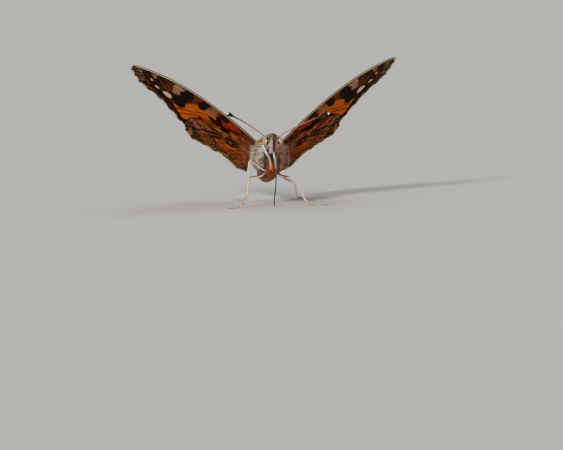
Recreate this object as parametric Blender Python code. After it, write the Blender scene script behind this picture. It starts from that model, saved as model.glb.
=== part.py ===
"""A painted lady butterfly at life size, standing on the floor with its wings half raised.

The insect looks along -Y and +X is its left side. Z is up, the floor is z = 0 and the origin
lies on the floor under the middle of its box. Sizes are in metres, written in millimetres.
"""

import math

import bmesh
import bpy
from mathutils import Vector

MM = 0.001

# Driving sizes of the insect and of its stance
FOREWING = 28.5 * MM
BODY_PITCH = math.radians(26)
WING_RAISE = {"left": math.radians(36.4), "right": math.radians(37)}
WING_ROOTS = Vector((-0.1, -1.29, 10.9)) * MM
ROOT_OFFSET = 1.9 * MM
GAP = 0.3 * MM

# Wing sheet: its thickness, how far a vein stands out of each face, how far the forewing bows
# up, and how steeply the wing falls towards its back
SHEET = 0.5 * MM
VEIN_RISE = 0.1 * MM
VEIN_HALF_WIDTH = 0.3 * MM
CAMBER = 0.45 * MM
WING_FALL = {"left": 0.022, "right": 0.006}

# Hindwing: how far it lies below the forewing where they overlap, how far behind the forewing's
# hind edge it has risen to that wing's level, and how far its inner margin folds down again
# beside the abdomen, from and to these distances out from the root and back from its front
HINDWING_DROP = 0.9 * MM
HINDWING_RISEN = 4.5 * MM
FOLD = {"left": 0.3 * MM, "right": 0.5 * MM}
FOLD_OUT = (8.5 * MM, 2.8 * MM)
FOLD_BACK = (4.7 * MM, 13.3 * MM)

# Wing veins from front to back: where each crosses the end of the cell, where it meets the
# margin, how far the margin dips behind it, and the share of its length where it starts and
# ends. Lengths are shares of the forewing's length, out from the root and back from its front
FOREWING_BASE = ((-0.02, -0.003), (-0.02, 0.087))
FOREWING_VEINS = (
    ((0.43, -0.116), (0.980, 0.002), 0.0, 0.0, 1.0),
    ((0.40, -0.086), (0.998, 0.034), 0.0, 0.0, 0.6),
    ((0.42, -0.045), (1.002, 0.080), 0.006, 0.0, 1.0),
    ((0.44, -0.012), (0.972, 0.143), 0.008, 0.4, 1.0),
    ((0.455, 0.020), (0.935, 0.204), 0.010, 0.4, 1.0),
    ((0.455, 0.052), (0.864, 0.246), 0.013, 0.4, 1.0),
    ((0.435, 0.088), (0.778, 0.272), 0.013, 0.4, 1.0),
    ((0.39, 0.128), (0.688, 0.340), 0.012, 0.0, 1.0),
    ((0.30, 0.160), (0.612, 0.408), 0.010, 0.25, 1.0),
    ((0.27, 0.215), (0.554, 0.455), 0.004, 0.0, 1.0),
    ((0.24, 0.252), (0.512, 0.462), 0.0, 0.0, 0.0),
)
HINDWING_BASE = ((-0.02, -0.015), (-0.02, 0.138))
HINDWING_VEINS = (
    ((0.27, 0.043), (0.462, 0.174), 0.004, 0.0, 1.0),
    ((0.26, 0.108), (0.528, 0.262), 0.010, 0.0, 1.0),
    ((0.25, 0.152), (0.553, 0.366), 0.011, 0.0, 1.0),
    ((0.245, 0.192), (0.543, 0.466), 0.012, 0.4, 1.0),
    ((0.23, 0.228), (0.491, 0.548), 0.014, 0.4, 1.0),
    ((0.21, 0.258), (0.408, 0.552), 0.014, 0.4, 1.0),
    ((0.18, 0.276), (0.318, 0.550), 0.012, 0.0, 1.0),
    ((0.135, 0.278), (0.224, 0.522), 0.011, 0.25, 1.0),
    ((0.085, 0.300), (0.118, 0.545), 0.008, 0.0, 1.0),
    ((0.03, 0.305), (0.045, 0.500), 0.0, 0.0, 0.0),
)
FOREWING_HIND_EDGE = ((-0.02, 0.087), (0.52, 0.462))
CELL_END = 0.4
WING_ROWS = (0.0, 0.09, 0.2, 0.3, CELL_END, 0.52, 0.65, 0.78, 0.9, 1.0)

# Sections of the body in millimetres: forward of the wing roots along the body, up from
# them, half width and half height, out to the tips of the coat
HEAD_SECTIONS = (
    (3.05, -1.55, 0.95, 0.95),
    (3.35, -1.42, 1.45, 1.40),
    (4.05, -1.30, 1.42, 1.52),
    (4.75, -1.42, 1.22, 1.48),
    (5.35, -1.68, 0.85, 1.12),
    (5.70, -1.85, 0.38, 0.55),
)
THORAX_SECTIONS = (
    (2.75, -1.80, 1.60, 1.55),
    (2.10, -1.92, 2.60, 2.55),
    (1.00, -2.28, 3.40, 3.08),
    (-0.80, -2.45, 3.75, 3.20),
    (-2.60, -2.35, 3.50, 3.00),
    (-3.90, -2.30, 2.70, 2.50),
    (-4.55, -2.20, 1.95, 1.95),
)
ABDOMEN_START = -4.9
ABDOMEN_LENGTH = 8.9
ABDOMEN_SEGMENTS = 7

# Eyes, in millimetres: side, forward, up, then half width, half depth and half height
EYE_CENTRE = (1.12, 4.15, -1.32)
EYE_RADII = (0.62, 0.88, 0.95)

# Limbs and feelers in millimetres from the wing roots: side, back, up, and the radius
PALP = ((0.45, -4.6, -0.9, 0.30), (0.52, -5.6, -0.75, 0.38), (0.55, -6.5, 0.35, 0.36),
        (0.52, -7.05, 1.2, 0.28), (0.50, -7.35, 1.85, 0.14))
PROBOSCIS = ((0.0, -4.2, -1.3, 0.26), (0.1, -5.1, -1.85, 0.26), (0.42, -5.65, -2.9, 0.26),
             (0.52, -5.8, -4.3, 0.26), (0.4, -5.75, -7.0, 0.25), (0.1, -5.7, -9.2, 0.25),
             (0.0, -5.7, -11.3, 0.25))
ANTENNA_ROOT = (0.55, -4.1, 1.3)
ANTENNA_TIPS = {"left": (9.5, -15.0, 6.25), "right": (-8.75, -15.0, 6.9)}
ANTENNA_SHAFT = 0.25
ANTENNA_CLUB = 0.42
FORELEG = ((1.6, -2.4, -1.0, 0.28), (1.8, -3.5, -0.1, 0.27), (1.38, -4.55, -1.15, 0.28),
           (0.98, -4.95, -2.35, 0.26), (0.85, -5.0, -3.4, 0.25), (0.72, -4.95, -4.3, 0.16))
MIDLEGS = {
    "right": ((-0.6, -2.2, -3.9, 0.34), (-1.4, -3.2, -4.3, 0.34), (-3.93, -4.8, -2.51, 0.30),
              (-4.35, -4.7, -4.6, 0.28), (-4.56, -4.6, -7.11, 0.26), (-4.94, -5.2, -8.98, 0.25),
              (-6.45, -6.0, -10.72, 0.24), (-8.2, -6.9, -10.74, 0.2)),
    "left": ((0.7, -2.2, -3.9, 0.34), (1.3, -2.9, -5.3, 0.34), (4.05, -4.6, -6.22, 0.30),
             (4.95, -4.8, -8.0, 0.28), (5.8, -5.0, -9.94, 0.26), (7.3, -5.7, -10.72, 0.25),
             (9.3, -6.8, -10.74, 0.2)),
}
HINDLEGS = {
    "right": ((-0.8, -0.9, -4.2, 0.34), (-1.7, -0.9, -5.45, 0.34), (-3.9, 1.4, -6.2, 0.30),
              (-4.0, 3.4, -7.6, 0.28), (-3.95, 5.6, -9.3, 0.26), (-4.6, 8.2, -10.72, 0.25),
              (-5.5, 10.8, -10.74, 0.2)),
    "left": ((0.8, -0.7, -4.2, 0.34), (1.9, -0.6, -5.9, 0.34), (4.4, 1.7, -7.4, 0.30),
             (4.9, 3.6, -8.6, 0.28), (5.3, 5.6, -10.0, 0.26), (6.0, 8.1, -10.72, 0.25),
             (6.8, 10.7, -10.74, 0.2)),
}
SIDES = {"left": 1, "right": -1}

MATERIALS = {
    "fur": ((0.42, 0.30, 0.21), 0.9),
    "abdomen": ((0.20, 0.11, 0.06), 0.85),
    "eye": ((0.30, 0.24, 0.16), 0.35),
    "palp": ((0.36, 0.23, 0.17), 0.85),
    "proboscis": ((0.05, 0.045, 0.05), 0.3),
    "antenna": ((0.10, 0.07, 0.05), 0.55),
    "leg": ((0.33, 0.24, 0.16), 0.65),
    "forewing": ((0.36, 0.12, 0.03), 0.8),
    "hindwing": ((0.28, 0.11, 0.05), 0.8),
}


def clear_scene():
    for old in list(bpy.data.objects):
        bpy.data.objects.remove(old, do_unlink=True)


def new_collection(name):
    collection = bpy.data.collections.new(name)
    bpy.context.scene.collection.children.link(collection)
    return collection


def material(name):
    found = bpy.data.materials.get(name)
    if found:
        return found
    colour, roughness = MATERIALS[name]
    made = bpy.data.materials.new(name)
    made.use_nodes = True
    shader = made.node_tree.nodes["Principled BSDF"]
    shader.inputs["Base Color"].default_value = (*colour, 1)
    shader.inputs["Roughness"].default_value = roughness
    shader.inputs["Metallic"].default_value = 0
    return made


def add_part(name, mesh, finish):
    """A part of the insect, with its origin in the middle of the wing roots."""
    part = bpy.data.objects.new(name, mesh)
    part.location = WING_ROOTS
    mesh.materials.append(material(finish))
    mesh.shade_smooth()
    mesh.set_sharp_from_angle(angle=math.radians(40))
    parts.objects.link(part)
    return part


def add_cutter(name, mesh, location=WING_ROOTS):
    cutter = bpy.data.objects.new(name, mesh)
    cutter.location = location
    cutter.hide_render = True
    cutter.display_type = "WIRE"
    cutters.objects.link(cutter)
    return cutter


def cut(part, *removed):
    for cutter in removed:
        boolean = part.modifiers.new("clear_of_" + cutter.name, "BOOLEAN")
        boolean.operation = "DIFFERENCE"
        boolean.solver = "EXACT"
        boolean.object = cutter


def body_point(side, forward, up):
    """A point given along the pitched body in millimetres, from the middle of the wing roots."""
    cosine, sine = math.cos(BODY_PITCH), math.sin(BODY_PITCH)
    return Vector((side, up * sine - forward * cosine, forward * sine + up * cosine)) * MM


def smooth_rows(rows, steps):
    """Rows of numbers read from the smooth curve through the given rows."""
    padded = [rows[0], *rows, rows[-1]]
    smooth = []
    for before, start, end, after in zip(padded, padded[1:], padded[2:], padded[3:]):
        for step in range(steps):
            t = step / steps
            smooth.append(tuple(
                0.5 * (2 * b + (c - a) * t + (2 * a - 5 * b + 4 * c - d) * t**2
                       + (3 * b - a - 3 * c + d) * t**3)
                for a, b, c, d in zip(before, start, end, after)))
    return smooth + [tuple(rows[-1])]


def loft_mesh(name, sections, sides, grow=0.0):
    """A closed skin over oval sections of the body, made wider all round by grow."""
    mesh = bmesh.new()
    rings = []
    last = len(sections) - 1
    toward_end = math.copysign(grow / MM, sections[last][0] - sections[0][0])
    for index, (forward, up, half_width, half_height) in enumerate(sections):
        forward += toward_end * ((index == last) - (index == 0))
        ring = []
        for corner in range(sides):
            angle = math.tau * corner / sides
            side = (half_width + grow / MM) * math.cos(angle)
            height = up + (half_height + grow / MM) * math.sin(angle)
            ring.append(mesh.verts.new(body_point(side, forward, height)))
        rings.append(ring)
    for ring, following in zip(rings, rings[1:]):
        for corner in range(sides):
            after = (corner + 1) % sides
            mesh.faces.new((ring[corner], ring[after], following[after], following[corner]))
    mesh.faces.new(rings[0])
    mesh.faces.new(rings[-1])
    bmesh.ops.recalc_face_normals(mesh, faces=mesh.faces)
    made = bpy.data.meshes.new(name)
    mesh.to_mesh(made)
    mesh.free()
    return made


def tube_mesh(name, points, steps=3):
    """A round limb along a smooth curve through points, each with its own radius."""
    path = smooth_rows(points, steps)
    curve = bpy.data.curves.new(name, "CURVE")
    curve.dimensions = "3D"
    curve.bevel_depth = MM
    curve.bevel_resolution = 2
    curve.use_fill_caps = True
    spline = curve.splines.new("POLY")
    spline.points.add(len(path) - 1)
    for point, (side, back, up, radius) in zip(spline.points, path):
        point.co = (side * MM, back * MM, up * MM, 1)
        point.radius = radius
    guide = bpy.data.objects.new(name, curve)
    parts.objects.link(guide)
    bpy.context.view_layer.update()
    graph = bpy.context.evaluated_depsgraph_get()
    made = bpy.data.meshes.new_from_object(guide.evaluated_get(graph))
    bpy.data.objects.remove(guide, do_unlink=True)
    mesh = bmesh.new()
    mesh.from_mesh(made)
    bmesh.ops.remove_doubles(mesh, verts=mesh.verts, dist=0.001 * MM)
    bmesh.ops.recalc_face_normals(mesh, faces=mesh.faces)
    mesh.to_mesh(made)
    mesh.free()
    return made


def ellipsoid_mesh(name, centre, radii, grow=0.0):
    mesh = bmesh.new()
    bmesh.ops.create_uvsphere(mesh, u_segments=16, v_segments=10, radius=1)
    for vert in mesh.verts:
        side, depth, height = (vert.co[axis] * (radii[axis] + grow / MM) for axis in range(3))
        vert.co = body_point(centre[0] + side, centre[1] + depth, centre[2] + height)
    bmesh.ops.recalc_face_normals(mesh, faces=mesh.faces)
    made = bpy.data.meshes.new(name)
    mesh.to_mesh(made)
    mesh.free()
    return made


def wing_point(out, back, lift, side):
    """A point of a wing, lift above the middle of its sheet, which bows up along its front."""
    bow = CAMBER * math.sin(math.pi * min(max(out / FOREWING, 0), 1))
    lift += bow * min(max(1 - back / (0.47 * FOREWING), 0), 1) - WING_FALL[side] * back
    cosine, sine = math.cos(WING_RAISE[side]), math.sin(WING_RAISE[side])
    side_way = ROOT_OFFSET + out * cosine - lift * sine
    return body_point(SIDES[side] * side_way / MM, -back / MM, (out * sine + lift * cosine) / MM)


def vein_path(base, cell, margin, share):
    """The point at a share of the way along the smooth curve through base, cell and margin."""
    from_base = (share - CELL_END) * (share - 1) / CELL_END
    from_cell = share * (share - 1) / (CELL_END * (CELL_END - 1))
    from_margin = share * (share - CELL_END) / (1 - CELL_END)
    return from_base * base + from_cell * cell + from_margin * margin


def wing_columns(base_line, veins):
    """Columns of (point, rise) from root to margin: each vein, its two flanks, each space."""
    first, last = (Vector(end) * FOREWING for end in base_line)
    paths = []
    for index, (cell, margin, *_) in enumerate(veins):
        base = first.lerp(last, index / (len(veins) - 1))
        cell, margin = Vector(cell) * FOREWING, Vector(margin) * FOREWING
        paths.append([vein_path(base, cell, margin, share) for share in WING_ROWS])
    columns = []
    for index, (_, _, dip, start, end) in enumerate(veins):
        in_cell = 2 <= index < 7
        path = paths[index]
        rises = [VEIN_RISE * (start <= share <= end and end > 0) for share in WING_ROWS]
        columns.append(list(zip(path, rises)))
        if index == len(veins) - 1:
            break
        across = [(b - a) for a, b in zip(path, paths[index + 1])]
        shares = [min(0.3, VEIN_HALF_WIDTH / step.length) for step in across]
        bars = [VEIN_RISE * (in_cell and share == CELL_END) for share in WING_ROWS]
        middle = [a + step * 0.5 for a, step in zip(path, across)]
        middle[-1] += (middle[-2] - middle[-1]).normalized() * dip * FOREWING
        near = [a + step * share for a, step, share in zip(path, across, shares)]
        far = [a + step * (1 - share) for a, step, share in zip(path, across, shares)]
        columns += [list(zip(points, bars)) for points in (near, middle, far)]
    return columns


def smooth_step(value, start, end):
    share = min(max((value - start) / (end - start), 0), 1)
    return share * share * (3 - 2 * share)


def hindwing_drop(point, side):
    """How far the hindwing lies below the forewing's level, less and less behind its edge."""
    start, end = (Vector(corner) * FOREWING for corner in FOREWING_HIND_EDGE)
    along = (end - start).normalized()
    behind = along.x * (point.y - start.y) - along.y * (point.x - start.x)
    fold = FOLD[side] * smooth_step(point.x, *FOLD_OUT) * smooth_step(point.y, *FOLD_BACK)
    return HINDWING_DROP * (1 - smooth_step(behind, 0.5 * MM, HINDWING_RISEN)) + fold


def wing_mesh(name, base_line, veins, side, drop):
    """Both faces of a wing share one net of triangles, with the veins raised out of them."""
    columns = wing_columns(base_line, veins)
    mesh = bmesh.new()
    faces = {}
    for face in (1, -1):
        faces[face] = [[
            mesh.verts.new(wing_point(
                point.x, point.y, face * (SHEET / 2 + rise) - drop(point, side), side))
            for point, rise in column] for column in columns]
    wide, long = len(columns), len(WING_ROWS)
    for net in faces.values():
        for i in range(wide - 1):
            for j in range(long - 1):
                a, b, c, d = net[i][j], net[i + 1][j], net[i + 1][j + 1], net[i][j + 1]
                mesh.faces.new((a, b, c))
                mesh.faces.new((a, c, d))
    rim = [(i, 0) for i in range(wide)] + [(wide - 1, j) for j in range(1, long)]
    rim += [(i, long - 1) for i in range(wide - 2, -1, -1)]
    rim += [(0, j) for j in range(long - 2, 0, -1)]
    upper, lower = faces[1], faces[-1]
    for (i, j), (k, l) in zip(rim, rim[1:] + rim[:1]):
        mesh.faces.new((upper[i][j], upper[k][l], lower[k][l], lower[i][j]))
    bmesh.ops.recalc_face_normals(mesh, faces=mesh.faces)
    made = bpy.data.meshes.new(name)
    mesh.to_mesh(made)
    mesh.free()
    return made


def abdomen_sections():
    """Seven overlapping rings that swell behind the waist and taper to the tail."""
    sections = []
    steps = ABDOMEN_SEGMENTS * 2
    for step in range(steps + 1):
        along = step / steps
        radius = 2.02 * math.sin(math.pi * (0.36 + 0.55 * along)) ** 0.8
        radius *= 1.0 - 0.035 * (step % 2)
        forward = ABDOMEN_START - ABDOMEN_LENGTH * along
        sections.append((forward, -2.25 + 1.1 * along, radius, radius * 1.02))
    forward, up, half_width, half_height = sections[-1]
    return sections + [(forward - 0.35, up, half_width * 0.6, half_height * 0.6)]


def mirrored(points, side):
    return tuple((side * x, back, up, radius) for x, back, up, radius in points)


def antenna_points(side):
    """A thin shaft that thickens into a club over its last tenth."""
    root, tip = Vector(ANTENNA_ROOT), Vector(ANTENNA_TIPS[side])
    root.x *= SIDES[side]
    points = []
    for share, radius in ((0, ANTENNA_SHAFT), (0.08, ANTENNA_SHAFT), (0.3, ANTENNA_SHAFT),
                          (0.6, ANTENNA_SHAFT), (0.84, ANTENNA_SHAFT), (0.9, 0.36),
                          (0.96, ANTENNA_CLUB), (0.99, 0.34), (1.0, 0.16)):
        point = root.lerp(tip, share)
        point.z += 0.35 * math.sin(math.pi * share)
        points.append((*point, radius))
    return points


def build_body():
    head = smooth_rows(HEAD_SECTIONS, 2)
    thorax = smooth_rows(THORAX_SECTIONS, 2)
    head_part = add_part("head", loft_mesh("head", head, 20), "fur")
    add_part("thorax", loft_mesh("thorax", thorax, 24), "fur")
    add_part("abdomen", loft_mesh("abdomen", abdomen_sections(), 18), "abdomen")
    near_head = add_cutter("near_head", loft_mesh("near_head", head, 20, GAP))
    near_thorax = add_cutter("near_thorax", loft_mesh("near_thorax", thorax, 24, GAP))
    for side, sign in SIDES.items():
        centre = (sign * EYE_CENTRE[0], EYE_CENTRE[1], EYE_CENTRE[2])
        add_part("eye_" + side, ellipsoid_mesh("eye_" + side, centre, EYE_RADII), "eye")
        socket = ellipsoid_mesh("near_eye_" + side, centre, EYE_RADII, GAP)
        cut(head_part, add_cutter("near_eye_" + side, socket))
    return near_head, near_thorax


def build_feelers(near_head):
    floor = add_floor_cutter()
    proboscis = add_part("proboscis", tube_mesh("proboscis", PROBOSCIS, 2), "proboscis")
    cut(proboscis, near_head, floor)
    for side, sign in SIDES.items():
        palp = add_part("palp_" + side, tube_mesh("palp_" + side, mirrored(PALP, sign)), "palp")
        antenna_mesh = tube_mesh("antenna_" + side, antenna_points(side), 1)
        antenna = add_part("antenna_" + side, antenna_mesh, "antenna")
        cut(palp, near_head)
        cut(antenna, near_head)
    return floor


def add_floor_cutter():
    mesh = bmesh.new()
    bmesh.ops.create_cube(mesh, size=1)
    bmesh.ops.scale(mesh, verts=mesh.verts, vec=(0.1, 0.1, 0.01))
    made = bpy.data.meshes.new("below_floor")
    mesh.to_mesh(made)
    mesh.free()
    return add_cutter("below_floor", made, Vector((0, 0, -0.005)))


def build_legs(near_thorax, floor):
    for side, sign in SIDES.items():
        foreleg_mesh = tube_mesh("foreleg_" + side, mirrored(FORELEG, sign), 2)
        cut(add_part("foreleg_" + side, foreleg_mesh, "leg"), near_thorax)
        for name, routes in (("midleg_", MIDLEGS), ("hindleg_", HINDLEGS)):
            leg = add_part(name + side, tube_mesh(name + side, routes[side], 2), "leg")
            cut(leg, near_thorax, floor)


def build_wings(near_thorax):
    for side in SIDES:
        forewing_mesh = wing_mesh(
            "forewing_" + side, FOREWING_BASE, FOREWING_VEINS, side, lambda point, side: 0)
        hindwing_mesh = wing_mesh(
            "hindwing_" + side, HINDWING_BASE, HINDWING_VEINS, side, hindwing_drop)
        cut(add_part("forewing_" + side, forewing_mesh, "forewing"), near_thorax)
        cut(add_part("hindwing_" + side, hindwing_mesh, "hindwing"), near_thorax)


clear_scene()
parts = new_collection("painted_lady_butterfly")
cutters = new_collection("cutters")
head_clearance, thorax_clearance = build_body()
floor_level = build_feelers(head_clearance)
build_legs(thorax_clearance, floor_level)
build_wings(thorax_clearance)
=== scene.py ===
"""Looks of a life-size painted lady butterfly, dressed over its solids.

All sizes are in metres, written in millimetres. The insect looks along -Y, +X is its left side
and the floor is z = 0. Places on a wing are in thirtieths of the forewing's length: out from the
root along the wing, and back from its front.
"""

import math

import bpy
import numpy as np
from mathutils import Matrix, Vector


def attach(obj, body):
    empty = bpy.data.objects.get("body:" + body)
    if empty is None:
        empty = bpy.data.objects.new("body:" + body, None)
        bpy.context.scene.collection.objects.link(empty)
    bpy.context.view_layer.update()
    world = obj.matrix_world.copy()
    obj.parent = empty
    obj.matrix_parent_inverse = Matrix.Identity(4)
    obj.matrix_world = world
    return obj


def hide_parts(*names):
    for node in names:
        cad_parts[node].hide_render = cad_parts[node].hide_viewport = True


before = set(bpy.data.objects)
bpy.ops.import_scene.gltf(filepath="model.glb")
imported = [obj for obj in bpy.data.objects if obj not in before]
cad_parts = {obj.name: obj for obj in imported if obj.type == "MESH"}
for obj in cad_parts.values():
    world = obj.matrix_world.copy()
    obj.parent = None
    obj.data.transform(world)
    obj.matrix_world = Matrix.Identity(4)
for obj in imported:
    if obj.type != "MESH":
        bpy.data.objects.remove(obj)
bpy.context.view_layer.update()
MM = 0.001
rng = np.random.default_rng(7)

# Camera: nearly level with the insect and a little to its right, with its head to us. It aims
# beside the wing roots, so that the insect stands in the frame as in the photograph.
PHOTO_WIDTH, PHOTO_HEIGHT = 563, 450
ROOTS_IN_PHOTO = (269.6, 144.6)
PIXELS_PER_MM = 5.482
CAMERA_DISTANCE = 600 * MM
CAMERA_AZIMUTH, CAMERA_HEIGHT, CAMERA_ROLL = (math.radians(a) for a in (-5.03, 4.0, 1.70))
WING_ROOTS = np.array((-0.1, -1.29, 10.9)) * MM

back = Vector((math.sin(CAMERA_AZIMUTH) * math.cos(CAMERA_HEIGHT),
               -math.cos(CAMERA_AZIMUTH) * math.cos(CAMERA_HEIGHT), math.sin(CAMERA_HEIGHT)))
level = Vector((math.cos(CAMERA_AZIMUTH), math.sin(CAMERA_AZIMUTH), 0))
across = level * math.cos(CAMERA_ROLL) - back.cross(level) * math.sin(CAMERA_ROLL)
upright = back.cross(across)
aim = Vector(WING_ROOTS)
aim += across * (PHOTO_WIDTH / 2 - ROOTS_IN_PHOTO[0]) / PIXELS_PER_MM * MM
aim -= upright * (PHOTO_HEIGHT / 2 - ROOTS_IN_PHOTO[1]) / PIXELS_PER_MM * MM
camera = bpy.data.objects.new("camera", bpy.data.cameras.new("camera"))
bpy.context.scene.collection.objects.link(camera)
bpy.context.scene.camera = camera
camera.data.sensor_width = 36
camera.data.lens = 36 * PIXELS_PER_MM * CAMERA_DISTANCE / MM / PHOTO_WIDTH
camera.data.clip_start, camera.data.clip_end = 0.01, 50
camera.location = Vector(WING_ROOTS) + back * CAMERA_DISTANCE
away = (camera.location - aim).normalized()
across = (across - away * across.dot(away)).normalized()
camera.rotation_euler = Matrix((across, away.cross(across), away)).transposed().to_euler()

# Floor and light: a plain pale floor and soft studio light, brightest from in front and high on
# the insect's right, with weaker light from low in front and from behind.
FLOOR_COLOUR = (0.72, 0.70, 0.66, 1)
FLOOR_REACH = 9
floor_mesh = bpy.data.meshes.new("floor")
floor_mesh.from_pydata([(-FLOOR_REACH, -FLOOR_REACH, 0), (FLOOR_REACH, -FLOOR_REACH, 0),
                        (FLOOR_REACH, FLOOR_REACH, 0), (-FLOOR_REACH, FLOOR_REACH, 0)],
                       [], [(0, 1, 2, 3)])
floor = bpy.data.objects.new("floor", floor_mesh)
bpy.context.scene.collection.objects.link(floor)
floor_paint = bpy.data.materials.new("floor_paint")
floor_paint.use_nodes = True
floor_shader = floor_paint.node_tree.nodes["Principled BSDF"]
floor_shader.inputs["Base Color"].default_value = FLOOR_COLOUR
floor_shader.inputs["Roughness"].default_value = 0.9
floor_shader.inputs["Specular IOR Level"].default_value = 0.1
floor_mesh.materials.append(floor_paint)

world = bpy.data.worlds.new("studio")
world.use_nodes = True
world.node_tree.nodes["Background"].inputs["Color"].default_value = (0.90, 0.94, 1.0, 1)
world.node_tree.nodes["Background"].inputs["Strength"].default_value = 0.33
bpy.context.scene.world = world
for name, source, softness, power, colour in (
        ("key_light", (-0.60, -0.75, 0.62), 12, 2.6, (1.0, 0.95, 0.87)),
        ("front_light", (0.30, -1.0, 0.16), 40, 0.55, (1.0, 0.97, 0.93)),
        ("back_light", (0.30, 0.60, 0.9), 30, 0.7, (0.95, 0.97, 1.0))):
    lamp = bpy.data.objects.new(name, bpy.data.lights.new(name, "SUN"))
    lamp.data.energy, lamp.data.color, lamp.data.angle = power, colour, math.radians(softness)
    lamp.rotation_euler = Vector(source).to_track_quat("Z", "Y").to_euler()
    bpy.context.scene.collection.objects.link(lamp)

# Wing sheets: a thin membrane on raised veins, bowed up along its front, forewing over hindwing.
# Each is one closed net that follows its veins, and both of its faces carry scales. The veins
# are given as (end of the cell), (margin), dip of the margin behind, first share, last share.
FOREWING = 28.5 * MM
THIRTIETH = FOREWING / 30
BODY_PITCH = math.radians(26)
WING_RAISE = {1: math.radians(36.4), -1: math.radians(37)}
WING_FALL = {1: 0.022, -1: 0.006}
ROOT_OFFSET = 1.9 * MM
CAMBER = 0.45 * MM
HINDWING_DROP = 0.45 * MM
HINDWING_RISEN = 4.5 * MM
FOLD = {1: 0.3 * MM, -1: 0.5 * MM}
FOREWING_HIND_EDGE = ((-0.6, 2.6), (15.6, 13.9))
MEMBRANE = 0.14 * MM
VEIN_RISE = 0.06 * MM
FRINGE = 0.6 * MM
CELL_END = 0.4
FOREWING_BASE = ((-0.6, -0.1), (-0.6, 2.6))
FOREWING_VEINS = (
    ((12.9, -3.48), (29.4, 0.06), 0.0, 0.0, 1.0),
    ((12.0, -2.58), (29.94, 1.02), 0.0, 0.0, 0.6),
    ((12.6, -1.35), (30.06, 2.4), 0.18, 0.0, 1.0),
    ((13.2, -0.36), (29.16, 4.29), 0.24, 0.4, 1.0),
    ((13.65, 0.6), (28.05, 6.12), 0.3, 0.4, 1.0),
    ((13.65, 1.56), (25.92, 7.38), 0.39, 0.4, 1.0),
    ((13.05, 2.64), (23.34, 8.16), 0.39, 0.4, 1.0),
    ((11.7, 3.84), (20.64, 10.2), 0.36, 0.0, 1.0),
    ((9.0, 4.8), (18.36, 12.24), 0.3, 0.25, 1.0),
    ((8.1, 6.45), (16.62, 13.65), 0.12, 0.0, 1.0),
    ((7.2, 7.56), (15.36, 13.86), 0.0, 0.0, 0.0),
)
HINDWING_BASE = ((-0.6, 0.4), (-0.6, 4.14))
HINDWING_VEINS = (
    ((8.2, 2.8), (13.86, 5.85), 0.12, 0.0, 1.0),
    ((7.8, 3.75), (15.84, 7.86), 0.3, 0.0, 1.0),
    ((7.5, 4.8), (16.59, 10.98), 0.33, 0.0, 1.0),
    ((7.35, 5.76), (16.29, 13.98), 0.36, 0.4, 1.0),
    ((6.9, 6.84), (14.73, 16.44), 0.42, 0.4, 1.0),
    ((6.3, 7.74), (12.24, 16.56), 0.42, 0.4, 1.0),
    ((5.4, 8.28), (9.54, 16.5), 0.36, 0.0, 1.0),
    ((4.05, 8.34), (6.72, 15.66), 0.33, 0.25, 1.0),
    ((2.55, 9.0), (3.54, 16.35), 0.24, 0.0, 1.0),
    ((0.9, 9.15), (1.35, 15.0), 0.0, 0.0, 0.0),
)


def smooth_step(value, start, end):
    share = np.clip((value - start) / (end - start), 0, 1)
    return share * share * (3 - 2 * share)


def body_place(side, forward, up):
    """World places of points given along the pitched body from the middle of the wing roots."""
    cosine, sine = math.cos(BODY_PITCH), math.sin(BODY_PITCH)
    return WING_ROOTS + np.stack(
        (side, up * sine - forward * cosine, forward * sine + up * cosine), axis=-1)


def level_drop(out, back, side):
    return 0 * out


def hindwing_drop(out, back, side):
    """How far the hindwing lies below the forewing's level, with its inner margin folded down."""
    start, end = (np.array(corner) * THIRTIETH for corner in FOREWING_HIND_EDGE)
    along = (end - start) / np.linalg.norm(end - start)
    behind = along[0] * (back - start[1]) - along[1] * (out - start[0])
    fold = smooth_step(out, 8.5 * MM, 2.8 * MM) * smooth_step(back, 4.7 * MM, 13.3 * MM)
    return HINDWING_DROP * (1 - smooth_step(behind, 0.5 * MM, HINDWING_RISEN)) + FOLD[side] * fold


def wing_place(out, back, lift, side, drop):
    """World places of a wing, lift above the middle of its sheet, which bows up at its front."""
    bow = CAMBER * np.sin(np.pi * np.clip(out / FOREWING, 0, 1))
    lift = lift - drop + bow * np.clip(1 - back / (0.47 * FOREWING), 0, 1) - WING_FALL[side] * back
    cosine, sine = math.cos(WING_RAISE[side]), math.sin(WING_RAISE[side])
    side_way = ROOT_OFFSET + out * cosine - lift * sine
    return body_place(side * side_way, -back, out * sine + lift * cosine)


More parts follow.
